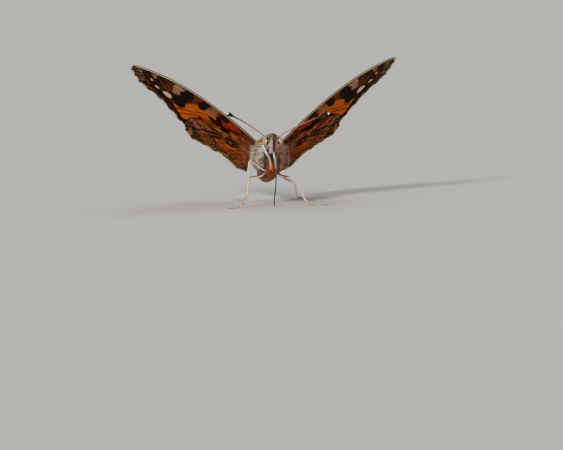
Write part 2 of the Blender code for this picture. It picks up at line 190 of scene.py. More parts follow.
def wing_net(base_line, veins, per_space, rows):
    """Places on a wing from root to margin between its veins, with what each lies near to."""
    first, last = (np.array(end) for end in base_line)
    spaces = len(veins) - 1
    count = spaces * per_space + 1
    column = np.linspace(0, spaces, count)
    vein = np.minimum(column.astype(int), spaces - 1)
    between = column - vein

    def path(index, share):
        base = first + (last - first) * index / spaces
        cell, margin = np.array(veins[index][0]), np.array(veins[index][1])
        share = share[:, None]
        return (base * (share - CELL_END) * (share - 1) / CELL_END
                + cell * share * (share - 1) / (CELL_END * (CELL_END - 1))
                + margin * share * (share - CELL_END) / (1 - CELL_END))

    share = np.linspace(0, 1, rows)
    net = np.empty((count, rows, 2))
    shares = np.empty((count, rows))
    for i in range(count):
        near, far, part = vein[i], vein[i] + 1, between[i]
        end = np.array((0.9, 1.0))
        reach = np.linalg.norm(np.diff(path(near, end) * (1 - part) + path(far, end) * part, axis=0))
        dip = veins[near][2] * math.sin(math.pi * part)
        last_share = 1 - (dip + FRINGE / THIRTIETH) * 0.1 / reach
        shares[i] = share * last_share
        net[i] = path(near, shares[i]) * (1 - part) + path(far, shares[i]) * part
    step = np.linalg.norm(np.gradient(net, axis=0), axis=2) * per_space
    starts = np.array([row[3] for row in veins])
    ends = np.array([row[4] for row in veins])
    to_vein = np.full((count, rows), 9.0)
    for nearest in (vein, vein + 1):
        away = np.abs(column - nearest)[:, None] * step
        past_end = np.maximum(0, np.maximum(starts[nearest][:, None] - shares,
                                            shares - ends[nearest][:, None])) * 30
        to_vein = np.minimum(to_vein, np.hypot(away, past_end))
    to_rim = np.linalg.norm(net - net[:, -1:], axis=2)
    to_side = np.minimum(column, spaces - column)[:, None] * step
    return {"x": net[..., 0], "y": net[..., 1], "column": np.repeat(column[:, None], rows, 1),
            "share": shares, "vein": to_vein, "rim": to_rim,
            "edge": np.minimum(to_rim, to_side), "front": column[:, None] * step}


def new_piece(name, points, faces, paint, replaced=()):
    """A smooth mesh from arrays of points and of faces with one number of sides."""
    mesh = bpy.data.meshes.new(name)
    faces = np.asarray(faces)
    mesh.vertices.add(len(points))
    mesh.vertices.foreach_set("co", np.asarray(points, np.float32).ravel())
    mesh.loops.add(faces.size)
    mesh.loops.foreach_set("vertex_index", faces.astype(np.int32).ravel())
    mesh.polygons.add(len(faces))
    mesh.polygons.foreach_set("loop_start", np.arange(0, faces.size, faces.shape[1], np.int32))
    mesh.update(calc_edges=True)
    mesh.shade_smooth()
    mesh.materials.append(paint)
    piece = bpy.data.objects.new(name, mesh)
    bpy.context.scene.collection.objects.link(piece)
    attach(piece, "root")
    if replaced:
        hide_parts(*replaced)
    return piece


def set_facts(piece, **facts):
    """Numbers held at the piece's points, which its paint reads by name."""
    for name, values in facts.items():
        values = np.asarray(values, np.float32)
        kind = "FLOAT" if values.ndim == 1 else "FLOAT_VECTOR"
        piece.data.attributes.new(name, kind, "POINT")
        field = "value" if values.ndim == 1 else "vector"
        piece.data.attributes[name].data.foreach_set(field, values.ravel())


# Wing pattern: the marks that the scales make on each face, as how far inside each mark a place
# lies, below zero outside it. The undersides have a marbled brown tip and hindwing, the upper
# sides a black tip, plain orange fields and black spots.
def area(x, y, *corners):
    """How far inside an outline of straight sides each place lies."""
    nearest = np.full(x.shape, 99.0)
    inside = np.zeros(x.shape, bool)
    for (ax, ay), (bx, by) in zip(corners, corners[1:] + corners[:1]):
        length = (bx - ax) ** 2 + (by - ay) ** 2
        share = np.clip(((x - ax) * (bx - ax) + (y - ay) * (by - ay)) / length, 0, 1)
        nearest = np.minimum(nearest, np.hypot(x - ax - share * (bx - ax),
                                               y - ay - share * (by - ay)))
        if ay != by:
            inside ^= ((ay > y) != (by > y)) & (x < ax + (y - ay) * (bx - ax) / (by - ay))
    return np.where(inside, nearest, -nearest)


def spot(x, y, centre, radii, lean=0.0):
    cosine, sine = math.cos(lean), math.sin(lean)
    along = (x - centre[0]) * cosine + (y - centre[1]) * sine
    aside = (y - centre[1]) * cosine - (x - centre[0]) * sine
    return (1 - np.hypot(along / radii[0], aside / radii[1])) * min(radii)


def streak(x, y, width, *points):
    """How far inside a line of some width through the points each place lies."""
    nearest = np.full(x.shape, 99.0)
    for (ax, ay), (bx, by) in zip(points, points[1:]):
        length = (bx - ax) ** 2 + (by - ay) ** 2
        share = np.clip(((x - ax) * (bx - ax) + (y - ay) * (by - ay)) / length, 0, 1)
        nearest = np.minimum(nearest, np.hypot(x - ax - share * (bx - ax),
                                               y - ay - share * (by - ay)))
    return width / 2 - nearest


def ring(x, y, centre, radii, width):
    return width / 2 - np.abs(spot(x, y, centre, radii))


def any_of(*marks):
    return np.maximum.reduce(marks)


def wander(x, y, reach, size):
    """The places moved a little this way and that, so that no mark's edge is drawn straight."""
    a, b = x / size, y / size
    return (x + reach * (np.sin(2.1 * b + 1.3) + 0.6 * np.sin(4.7 * b - 2.9 * a)),
            y + reach * (np.sin(1.9 * a + 0.4) + 0.6 * np.sin(5.3 * a + 3.1 * b + 2.0)))


def forewing_black_bars(x, y):
    """The jagged black marks that both faces share, from the cell to the costa."""
    return any_of(
        area(x, y, (7.2, -2.1), (9.2, -2.4), (9.3, -0.6), (8.3, 0.5), (7.3, -0.1)),
        area(x, y, (9.5, -0.5), (10.1, 0.4), (9.9, 2.0), (8.4, 1.9), (8.7, 1.0)),
        area(x, y, (10.2, 2.0), (12.3, 2.1), (11.3, 3.2), (10.4, 3.1)),
        area(x, y, (11.4, 4.8), (13.8, 4.9), (13.4, 6.0), (11.6, 5.7)),
        area(x, y, (10.8, -3.3), (13.4, -3.4), (13.6, -1.8), (14.7, -0.1), (13.9, 1.6),
             (12.9, 1.4), (12.6, 0.2), (11.9, -1.6)),
        area(x, y, (15.7, -3.4), (17.2, -3.3), (18.4, -0.5), (18.7, 2.0), (20.0, 2.6),
             (20.2, 4.8), (19.3, 5.7), (18.6, 6.3), (17.9, 6.3), (17.3, 5.0), (17.2, 3.2),
             (16.3, 0.6), (15.2, -0.9)),
        area(x, y, (3.5, -0.8), (4.6, -0.7), (4.4, 0.2), (3.6, 0.2)))


def forewing_white_marks(x, y):
    return any_of(
        spot(x, y, (21.1, 4.0), (1.0, 0.9)),
        spot(x, y, (23.5, 3.35), (0.5, 0.4)),
        spot(x, y, (24.8, 1.55), (0.27, 0.36)))


def costal_bar(x, y):
    return area(x, y, (17.3, -2.8), (19.7, -2.7), (20.2, -0.6), (20.0, 1.4), (19.3, 1.7),
                (19.1, 0.9), (18.6, 1.5), (18.2, 0.6), (18.6, -0.4), (17.8, -1.2))


def forewing_under(net):
    x, y = wander(net["x"], net["y"], 0.07, 0.8)
    field = area(x, y, (12.3, 1.8), (14.6, 0.3), (16.8, 3.0), (17.1, 5.2), (19.5, 6.2),
                 (19.4, 7.2), (17.3, 9.9), (16.2, 9.6), (13.6, 5.6), (14.1, 4.8), (12.4, 5.2),
                 (10.5, 4.1), (11.8, 2.6))
    strip = area(x, y, (9.8, 1.0), (12.9, 1.2), (13.2, 2.4), (9.9, 1.9))
    hidden = area(x, y, (2.0, 2.0), (10.0, 3.5), (16.0, 10.0), (14.0, 13.6), (7.0, 7.6), (1, 4))
    root_red = area(x, y, (4.2, -1.3), (7.3, -2.0), (9.8, -2.5), (9.8, -0.4), (8.8, 1.9),
                    (8.0, 2.6), (4.6, 0.9))
    cell_patch = area(x, y, (9.7, -2.7), (11.6, -2.9), (12.9, 0.6), (12.6, 1.2), (10.0, 1.0),
                      (9.9, -1.0))
    tip_cloud = area(x, y, (28.4, -0.4), (29.0, 1.0), (29.2, 3.2), (28.4, 4.7), (27.4, 4.7),
                     (26.6, 3.9), (26.9, 1.9), (27.3, 0.4))
    near_rim = area(x, y, (20.4, 7.6), (21.5, 6.8), (23.5, 6.3), (25.3, 6.3), (25.0, 7.0),
                    (23.0, 7.3), (21.3, 8.1))
    field_rim = any_of(streak(x, y, 0.75, (17.6, 10.2), (18.9, 8.2), (19.8, 7.1), (21.4, 6.0)),
                       spot(x, y, (22.6, 5.5), (0.6, 0.45)), spot(x, y, (24.4, 4.9), (0.5, 0.4)),
                       spot(x, y, (25.9, 3.9), (0.45, 0.4)), spot(x, y, (27.0, 2.2), (0.35, 0.45)),
                       streak(x, y, 0.4, (23.3, -2.4), (23.6, -0.6), (23.2, 1.4), (22.6, 2.6)))
    return {
        "rust": any_of(area(x, y, (13.6, -3.0), (15.3, -3.2), (16.0, -0.5), (15.3, 1.2),
                            (14.4, 0.2), (13.8, -1.5)),
                       area(x, y, (20.7, -1.6), (22.9, -1.4), (22.9, 0.6), (21.3, 2.6), (20.2, 1.6)),
                       area(x, y, (17.9, 9.9), (20.2, 8.9), (20.2, 10.6), (18.3, 11.4)),
                       area(x, y, (0.3, -0.2), (4.4, -1.6), (4.6, 1.4), (2.4, 2.8), (0.3, 1.5))),
        "orange": any_of(field, strip, hidden - 0.2),
        "red": root_red,
        "grey": any_of(tip_cloud, near_rim),
        "pale": cell_patch,
        "cream": forewing_white_marks(x, y),
        "black": any_of(forewing_black_bars(x, y), field_rim,
                        # Black along where the hindwing's edge lies over it: partly a real mark,
                        # partly painted shadow of that edge.
                        streak(x, y, 0.5, (13.6, 5.7), (16.2, 9.8), (16.9, 12.4)),
                        streak(x, y, 0.24, (12.3, 2.3), (17.4, 6.0), (19.0, 7.6)),
                        streak(x, y, 0.30, (14.1, 4.9), (16.2, 7.0), (18.2, 8.8)),
                        streak(x, y, 0.60, (6.9, 2.2), (8.8, 3.5)),
                        streak(x, y, 0.35, (0.9, 1.5), (2.4, 1.8)),
                        streak(x, y, 0.40, (1.4, -0.7), (4.4, -1.8), (9.4, -2.75)),
                        streak(x, y, 0.45, (13.9, 5.1), (12.6, 5.0), (11.3, 4.6), (9.6, 3.7)),
                        streak(x, y, 0.50, (11.9, 2.0), (10.4, 2.2), (9.3, 3.2)),
                        spot(x, y, (25.8, 4.4), (0.65, 0.5)), spot(x, y, (28.9, 4.0), (0.3, 0.35)),
                        0.07 - np.abs(net["front"] - 0.2), 0.25 - net["rim"]),
        "ochre": any_of(costal_bar(x, y), streak(x, y, 0.30, (28.2, -0.5), (27.3, 0.4),
                                                 (26.9, 1.9), (26.6, 3.9)),
                        area(x, y, (23.3, -2.3), (25.2, -1.7), (24.9, -0.4), (24.4, 0.3),
                             (23.5, -0.6))),
        "mosaic": area(x, y, (20.6, -2.6), (25.0, -2.4), (28.8, -0.4), (29.8, 2.6), (27.2, 6.4),
                       (22.0, 7.6), (20.0, 10.0), (19.0, 9.0), (21.6, 5.8)),
        "eye": np.full(x.shape, 9.0),
        "line": 0.16 - net["vein"] + 0.10 * (forewing_black_bars(x, y) > 0.1),
    }


def forewing_upper(net):
    x, y = wander(net["x"], net["y"], 0.07, 0.8)
    field = area(x, y, (9.4, -2.7), (11.2, -3.0), (12.9, 1.2), (14.6, 0.3), (16.8, 3.0),
                 (17.1, 5.2), (19.8, 6.2), (19.6, 7.6), (17.6, 10.9), (15.2, 12.0), (10.0, 8.6),
                 (5.5, 6.2), (4.5, 3.5), (7.6, 1.9), (9.6, -0.4))
    root = area(x, y, (-1, -0.5), (4.5, -2.4), (9.6, -2.9), (9.6, 1.0), (7.0, 3.4), (5.0, 6.0),
                (-1, 3.0))
    lobes = any_of(area(x, y, (9.8, 5.2), (12.0, 4.8), (13.6, 6.4), (12.6, 7.4), (10.4, 6.5)),
                   area(x, y, (14.6, 9.4), (16.0, 9.0), (16.6, 10.2), (15.4, 11.2)))
    return {
        "rust": root, "orange": field, "red": np.full(x.shape, -9.0),
        "grey": np.full(x.shape, -9.0), "pale": np.full(x.shape, -9.0),
        "mosaic": np.full(x.shape, -9.0),
        "cream": any_of(forewing_white_marks(x, y), costal_bar(x, y),
                        spot(x, y, (26.1, 0.4), (0.3, 0.4))),
        "black": any_of(forewing_black_bars(x, y), lobes,
                        streak(x, y, 0.9, (17.6, 11.4), (19.0, 8.2), (20.2, 7.0)),
                        0.9 - net["rim"]),
        "ochre": np.full(x.shape, -9.0),
        "eye": np.full(x.shape, 9.0),
        "line": 0.2 - net["vein"],
    }


EYESPOT_REACH = 1.3


def eyespots(x, y):
    """The hindwing's row of eyespots: how far from the nearest one's middle, in its radii."""
    spots = [1 - spot(x, y, centre, radii) / min(radii) for centre, radii in (
        ((12.7, 10.3), (0.7, 0.8)), ((10.8, 11.9), (1.2, 1.6)), ((9.3, 13.9), (0.75, 0.95)),
        ((7.8, 11.4), (0.8, 0.95)), ((3.9, 13.1), (1.1, 1.5)))]
    return np.minimum.reduce(spots) / EYESPOT_REACH


def hindwing_under(net):
    x, y = wander(net["x"], net["y"], 0.14, 0.7)
    wave = 0.3 * np.cos(net["column"] * math.tau)
    marks = any_of(
        ring(x, y, (6.1, 5.9), (0.75, 0.95), 0.60), ring(x, y, (8.7, 6.1), (0.6, 0.75), 0.36),
        ring(x, y, (13.7, 8.2), (1.15, 1.35), 0.28), ring(x, y, (3.7, 1.3), (0.7, 0.8), 0.5),
        spot(x, y, (10.5, 5.1), (1.0, 0.55)), spot(x, y, (9.7, 7.0), (0.9, 0.5)),
        spot(x, y, (5.3, 7.2), (0.75, 0.45)), spot(x, y, (4.1, 6.8), (0.75, 0.45), 2.2),
        streak(x, y, 0.75, (8.8, 2.3), (7.6, 3.0), (6.3, 3.0)),
        streak(x, y, 0.55, (6.7, -0.2), (6.7, 1.2), (7.2, 2.4)),
        streak(x, y, 0.45, (12.7, 4.2), (11.2, 3.6), (9.9, 3.2)),
        streak(x, y, 0.35, (2.2, 3.6), (4.4, 3.3), (5.1, 4.4)),
        streak(x, y, 0.35, (9.9, 8.4), (10.2, 9.6), (8.6, 9.8), (7.4, 8.9)),
        streak(x, y, 0.40, (14.6, 10.2), (14.2, 11.4), (12.9, 12.4)),
        streak(x, y, 0.30, (12.3, 8.9), (11.6, 7.4), (12.2, 6.5)))
    hind = np.where(net["column"] > 2.6, 0.0, -9.0)
    return {
        "rust": any_of(area(x, y, (-1, 1.5), (4.5, 2.0), (9.0, 8.0), (8.6, 11.4), (6.0, 12.6),
                            (4.8, 11.2), (2.6, 11.8), (-1, 12.0)),
                       area(x, y, (9.0, 3.4), (14.0, 5.6), (14.6, 7.0), (12.0, 7.2), (9.4, 6.6))),
        "orange": any_of(streak(x, y, 0.85, (6.9, 8.3), (5.2, 8.1), (3.2, 7.2)),
                         streak(x, y, 0.55, (2.7, 7.4), (2.4, 11.4)),
                         streak(x, y, 0.7, (9.0, 8.9), (8.0, 9.5), (6.6, 10.8)),
                         streak(x, y, 0.45, (12.4, 9.2), (11.0, 9.2))),
        "red": area(x, y, (1.6, 1.0), (3.6, 2.4), (4.2, 4.4), (2.4, 5.4), (1.2, 3.4)),
        "pale": any_of(area(x, y, (4.5, 0.6), (6.2, 0.2), (6.5, 1.9), (5.8, 3.0), (4.6, 2.5)),
                       streak(x, y, 0.85, (12.8, 5.5), (11.7, 5.9), (10.5, 6.2)),
                       streak(x, y, 0.85, (9.5, 3.9), (8.3, 4.0), (7.3, 4.7)),
                       streak(x, y, 0.40, (5.4, 3.2), (4.0, 4.0), (2.4, 4.7)),
                       streak(x, y, 0.35, (4.4, 4.9), (3.2, 5.0), (2.1, 5.8)),
                       spot(x, y, (14.9, 7.6), (0.4, 0.8))),
        "grey": any_of(spot(x, y, (13.7, 8.2), (1.1, 1.25)), spot(x, y, (14.5, 11.6), (0.6, 0.8)),
                       area(x, y, (11.6, 4.2), (13.4, 4.7), (13.6, 6.0), (12.4, 6.2))),
        "cream": np.full(x.shape, -9.0),
        "mosaic": area(x, y, (1.5, -0.8), (8.0, 0.6), (12.6, 3.4), (13.2, 6.0), (11.4, 9.6),
                       (9.3, 8.2), (6.6, 7.6), (3.5, 5.6), (1.0, 2.5)),
        "black": any_of(marks, 0.12 - np.abs(net["rim"] - 0.3) + hind,
                        0.16 - np.abs(net["rim"] - 2.0 - wave * 0.7) + hind),
        "ochre": any_of(0.50 - np.abs(net["rim"] - 1.1 - wave * 0.5)
                        + np.where((net["column"] > 4.6) & (net["column"] < 7.3), 0.0, -9.0),
                        spot(x, y, (15.0, 13.3), (0.7, 0.9)), spot(x, y, (13.7, 15.4), (0.6, 0.5))),
        "eye": eyespots(x, y),
        "line": 0.13 - net["vein"] - 9 * (net["column"] < 0.5) - 0.06 * smooth_step(y, 9, 11),
    }


def hindwing_upper(net):
    x, y = wander(net["x"], net["y"], 0.08, 0.8)
    middle = np.abs(net["column"] % 1 - 0.5) * 2
    in_spaces = (net["column"] > 1) & (net["column"] < 8)
    row = np.where(in_spaces, 0.62 - np.hypot((net["rim"] - 3.9) * 0.85, middle * 1.15), -9)
    crescents = np.where(in_spaces, 0.3 - np.abs(net["rim"] - 2.1 + middle * 0.5), -9)
    ends = 0.5 - np.hypot(net["rim"] * 0.8, (1 - middle) * 1.6)
    root = area(x, y, (-1, -1), (6.5, 0.5), (9.0, 2.0), (9.0, 4.6), (6.0, 6.0), (3.2, 9.0),
                (2.6, 17), (-1, 17))
    return {
        "rust": any_of(root, 2.2 - net["front"]),
        "orange": net["edge"] - 0.1, "red": np.full(x.shape, -9.0),
        "grey": np.full(x.shape, -9.0), "pale": np.full(x.shape, -9.0),
        "mosaic": np.full(x.shape, -9.0),
        "cream": 0.08 - np.abs(net["rim"] - 0.3),
        "black": any_of(row, crescents, ends, 0.14 - np.abs(net["rim"] - 0.6),
                        area(x, y, (6.6, 1.4), (8.4, 1.9), (8.3, 5.0), (7.2, 5.4))),
        "ochre": np.full(x.shape, -9.0),
        "eye": np.full(x.shape, 9.0),
        "line": 0.14 - net["vein"],
    }


# Wing scales: rows of tiny overlapping scales about a tenth of a millimetre long, whose colours
# meet raggedly at the edge of each mark. The same paint serves both faces and both wings.
def colour(red, green, blue):
    """A colour given as screen values from 0 to 255."""
    return tuple(((c / 255 + 0.055) / 1.055) ** 2.4 if c > 10 else c / 255 / 12.92
                 for c in (red, green, blue)) + (1,)


def new_group(name, inputs, outputs):
    """A node group with named sockets, given as {name: kind}."""
    tree = bpy.data.node_groups.new(name, "ShaderNodeTree")
    for way, sockets in (("INPUT", inputs), ("OUTPUT", outputs)):
        for socket, kind in sockets.items():
            tree.interface.new_socket(socket, in_out=way, socket_type="NodeSocket" + kind)
    return tree, tree.nodes.new("NodeGroupInput"), tree.nodes.new("NodeGroupOutput")


def add_node(tree, kind, inputs=None, **settings):
    """A shader node with its settings, and its inputs set or linked by name or number."""
    node = tree.nodes.new("ShaderNode" + kind)
    for name, value in settings.items():
        setattr(node, name, value)
    for key, value in (inputs or {}).items():
        if isinstance(value, bpy.types.NodeSocket):
            tree.links.new(value, node.inputs[key])
        else:
            node.inputs[key].default_value = value
    return node


def ragged_edge_group():
    """Turns how far inside a mark a place lies into a mask whose edge is broken scale by scale."""
    tree, given, made = new_group(
        "ragged_edge", {"Inside": "Float", "Place": "Vector", "Raggedness": "Float",
                        "Softness": "Float"}, {"Mask": "Float"})
    grain = add_node(tree, "TexNoise", {"Vector": given.outputs["Place"], "Scale": 2.4,
                                        "Detail": 3.0, "Roughness": 0.75})
    shift = add_node(tree, "Math", {0: grain.outputs["Fac"], 1: 0.5}, operation="SUBTRACT")
    reach = add_node(tree, "Math", {0: shift.outputs[0], 1: given.outputs["Raggedness"]},
                     operation="MULTIPLY")
    inside = add_node(tree, "Math", {0: given.outputs["Inside"], 1: reach.outputs[0]},
                      operation="ADD")
    low = add_node(tree, "Math", {0: given.outputs["Softness"], 1: -1.0}, operation="MULTIPLY")
    mask = add_node(tree, "MapRange", {"Value": inside.outputs[0], "From Min": low.outputs[0],
                                       "From Max": given.outputs["Softness"]},
                    interpolation_type="SMOOTHSTEP")
    tree.links.new(mask.outputs["Result"], made.inputs["Mask"])
    return tree


def scale_rows_group():
    """Rows of overlapping scales: a tone that changes from scale to scale, and their relief."""
    tree, given, made = new_group(
        "scale_rows", {"Place": "Vector", "Rows per mm": "Float"},
        {"Tone": "Float", "Height": "Float"})
    wide = add_node(tree, "CombineXYZ", {0: 1.5, 1: 1.0, 2: 1.0})
    stretched = add_node(tree, "VectorMath", {0: given.outputs["Place"], 1: wide.outputs[0]},
                         operation="MULTIPLY")
    cells = add_node(tree, "TexVoronoi", {"Vector": stretched.outputs[0],
                                          "Scale": given.outputs["Rows per mm"],
                                          "Randomness": 0.75})
    tone = add_node(tree, "SeparateColor", {0: cells.outputs["Color"]})
    height = add_node(tree, "Math", {0: 1.0, 1: cells.outputs["Distance"]}, operation="SUBTRACT")
    tree.links.new(tone.outputs[0], made.inputs["Tone"])
    tree.links.new(height.outputs[0], made.inputs["Height"])
    return tree


def mosaic_group():
    """Crooked cells between the veins, some pale, some dark, most with a dark outline."""
    tree, given, made = new_group("mosaic", {"Place": "Vector"},
                                  {"Pale": "Float", "Dark": "Float"})
    bend = add_node(tree, "TexNoise", {"Vector": given.outputs["Place"], "Scale": 1.6,
                                       "Detail": 2.0})
    offset = add_node(tree, "VectorMath", {0: bend.outputs["Color"], 1: (1.1, 1.1, 0.0)},
                      operation="MULTIPLY")
    moved = add_node(tree, "VectorMath", {0: given.outputs["Place"], 1: offset.outputs[0]},
                     operation="ADD")
    narrow = add_node(tree, "VectorMath", {0: moved.outputs[0], 1: (0.75, 1.15, 1.0)},
                      operation="MULTIPLY")
    cells = add_node(tree, "TexVoronoi", {"Vector": narrow.outputs[0], "Scale": 1.05})
    borders = add_node(tree, "TexVoronoi", {"Vector": narrow.outputs[0], "Scale": 1.05},
                       feature="DISTANCE_TO_EDGE")
    kind = add_node(tree, "SeparateColor", {0: cells.outputs["Color"]}).outputs[0]
    pale = add_node(tree, "MapRange", {"Value": kind, "From Min": 0.66, "From Max": 0.70,
                                       "To Max": 0.75})
    filled = add_node(tree, "MapRange", {"Value": kind, "From Min": 0.22, "From Max": 0.18})
    line = add_node(tree, "MapRange", {"Value": borders.outputs["Distance"], "From Min": 0.10,
                                       "From Max": 0.04})
    dark = add_node(tree, "Math", {0: filled.outputs[0], 1: line.outputs[0]}, operation="MAXIMUM")
    strong = add_node(tree, "Math", {0: dark.outputs[0], 1: 0.88}, operation="MULTIPLY")
    tree.links.new(pale.outputs[0], made.inputs["Pale"])
    tree.links.new(strong.outputs[0], made.inputs["Dark"])
    return tree


def streaks_group():
    """Long streaks between the veins, read from the vein number and the share of the way out."""
    tree, given, made = new_group("streaks", {"Flow": "Vector"}, {"Pale": "Float", "Dark": "Float"})
    drawn = add_node(tree, "VectorMath", {0: given.outputs["Flow"], 1: (2.6, 9.0, 1.0)},
                     operation="MULTIPLY")
    grain = add_node(tree, "TexNoise", {"Vector": drawn.outputs[0], "Scale": 1.0, "Detail": 2.5,
                                        "Roughness": 0.55})
    for title, low, high in (("Pale", 0.57, 0.66), ("Dark", 0.45, 0.38)):
        part = add_node(tree, "MapRange", {"Value": grain.outputs["Fac"], "From Min": low,
                                           "From Max": high})
        tree.links.new(part.outputs[0], made.inputs[title])
    return tree


RAGGED_EDGE = ragged_edge_group()
SCALE_ROWS = scale_rows_group()
MOSAIC = mosaic_group()
STREAKS = streaks_group()
FOREWING_COLOURS = {
    "under": colour(46, 23, 10), "upper": colour(38, 29, 24), "cloud": colour(88, 48, 24),
    "rust": colour(114, 50, 22), "orange": colour(212, 100, 36), "red": colour(160, 40, 22),
    "pale": colour(150, 98, 58), "ochre": colour(178, 134, 106), "line": colour(58, 27, 15),
    "grey": colour(124, 92, 78), "streak": colour(122, 70, 38),
}
HINDWING_COLOURS = {
    "under": colour(56, 27, 11), "upper": colour(176, 98, 48), "cloud": colour(108, 56, 26),
    "rust": colour(130, 52, 16), "orange": colour(204, 92, 32), "red": colour(140, 42, 22),
    "pale": colour(180, 106, 72), "ochre": colour(172, 98, 34), "line": colour(168, 92, 56),
    "grey": colour(126, 88, 74), "streak": colour(186, 98, 50),
}
MARK_EDGES = (("rust", 0.9, 0.45), ("orange", 0.5, 0.10), ("red", 0.8, 0.30),
              ("grey", 0.9, 0.35), ("pale", 0.7, 0.16), ("ochre", 0.8, 0.20))
MOSAIC_DARK = colour(24, 11, 7)
BLACK_SCALES = colour(11, 6, 4)
CREAM_SCALES = colour(226, 198, 160)
EYESPOT_RINGS = ((0.0, colour(34, 28, 34)), (0.28, colour(14, 9, 9)),
                 (0.34, colour(168, 100, 54)), (0.50, colour(176, 108, 60)),
                 (0.56, colour(18, 11, 9)), (0.76, colour(22, 13, 10)),
                 (0.82, colour(150, 92, 56)), (0.94, colour(128, 76, 44)))


def wing_paint(name, tints, line_strength):
    paint = bpy.data.materials.new(name)
    paint.use_nodes = True
    tree = paint.node_tree
    shader = tree.nodes["Principled BSDF"]

    def fact(title, output="Fac"):
        return add_node(tree, "Attribute", attribute_name=title).outputs[output]

    place = fact("net", "Vector")

    def mask(title, raggedness, softness):
        group = add_node(tree, "Group", node_tree=RAGGED_EDGE)
        tree.links.new(fact(title), group.inputs["Inside"])
        tree.links.new(place, group.inputs["Place"])
        group.inputs["Raggedness"].default_value = raggedness
        group.inputs["Softness"].default_value = softness
        return group.outputs["Mask"]

    def mixed(below, above, share, blend="MIX"):
        node = add_node(tree, "Mix", {0: share, 6: below, 7: above}, data_type="RGBA",
                        blend_type=blend)
        return node.outputs[2]

    scales = add_node(tree, "Group", node_tree=SCALE_ROWS)
    tree.links.new(place, scales.inputs["Place"])
    scales.inputs["Rows per mm"].default_value = 7.5
    cloud = add_node(tree, "TexNoise", {"Vector": place, "Scale": 0.55, "Detail": 4.0,
                                        "Roughness": 0.6})
    clouds = add_node(tree, "MapRange", {"Value": cloud.outputs["Fac"], "From Min": 0.38,
                                         "From Max": 0.62, "To Min": 0.0, "To Max": 1.0})
    ground = mixed(tints["under"], tints["upper"], fact("upper"))
    marbled = mixed(ground, tints["cloud"], 0.0)
    cloudy = add_node(tree, "Math", {0: clouds.outputs[0], 1: fact("marble")},
                      operation="MULTIPLY")
    tree.links.new(cloudy.outputs[0], marbled.node.inputs[0])
    skin = marbled
    for title, raggedness, softness in MARK_EDGES:
        skin = mixed(skin, tints[title], mask(title, raggedness, softness))
    drawn = add_node(tree, "Group", node_tree=STREAKS)
    tree.links.new(fact("flow", "Vector"), drawn.inputs["Flow"])
    cells = add_node(tree, "Group", node_tree=MOSAIC)
    tree.links.new(place, cells.inputs["Place"])
    in_mosaic = mask("mosaic", 0.8, 0.3)
    for group, where, strength in ((drawn, fact("marble"), 0.75), (cells, in_mosaic, 0.9)):
        for output, tint in (("Pale", tints["streak"]), ("Dark", MOSAIC_DARK)):
            share = add_node(tree, "Math", {0: group.outputs[output], 1: where},
                             operation="MULTIPLY")
            part = add_node(tree, "Math", {0: share.outputs[0], 1: strength},
                            operation="MULTIPLY")
            skin = mixed(skin, tint, part.outputs[0])
    rings = add_node(tree, "ValToRGB", {0: fact("eye")})
    ramp = rings.color_ramp
    while len(ramp.elements) < len(EYESPOT_RINGS):
        ramp.elements.new(1.0)
    for stop, (at, tint) in zip(ramp.elements, EYESPOT_RINGS):
        stop.position, stop.color = at, tint
    in_eyespot = add_node(tree, "MapRange", {"Value": fact("eye"), "From Min": 1.0,
                                             "From Max": 0.92})
    skin = mixed(skin, rings.outputs["Color"], in_eyespot.outputs[0])
    skin = mixed(skin, BLACK_SCALES, mask("black", 1.0, 0.14))
    thin_line = add_node(tree, "Math", {0: mask("line", 0.12, 0.06), 1: line_strength},
                         operation="MULTIPLY")
    skin = mixed(skin, tints["line"], thin_line.outputs[0])
    skin = mixed(skin, CREAM_SCALES, mask("cream", 0.4, 0.12))
    skin = mixed(skin, colour(214, 194, 152), mask("costa", 0.2, 0.06))
    dusting = add_node(tree, "MapRange", {"Value": scales.outputs["Tone"], "To Min": 0.62,
                                          "To Max": 1.22})
    dusty = add_node(tree, "Mix", {0: 1.0, 6: skin, 7: dusting.outputs[0]}, data_type="RGBA",
                     blend_type="MULTIPLY")
    tree.links.new(dusty.outputs[2], shader.inputs["Base Color"])
    relief = add_node(tree, "Bump", {"Strength": 0.35, "Distance": 0.02 * MM,
                                     "Height": scales.outputs["Height"]})
    tree.links.new(relief.outputs[0], shader.inputs["Normal"])
    shader.inputs["Roughness"].default_value = 0.85
    shader.inputs["Specular IOR Level"].default_value = 0.05
    return paint


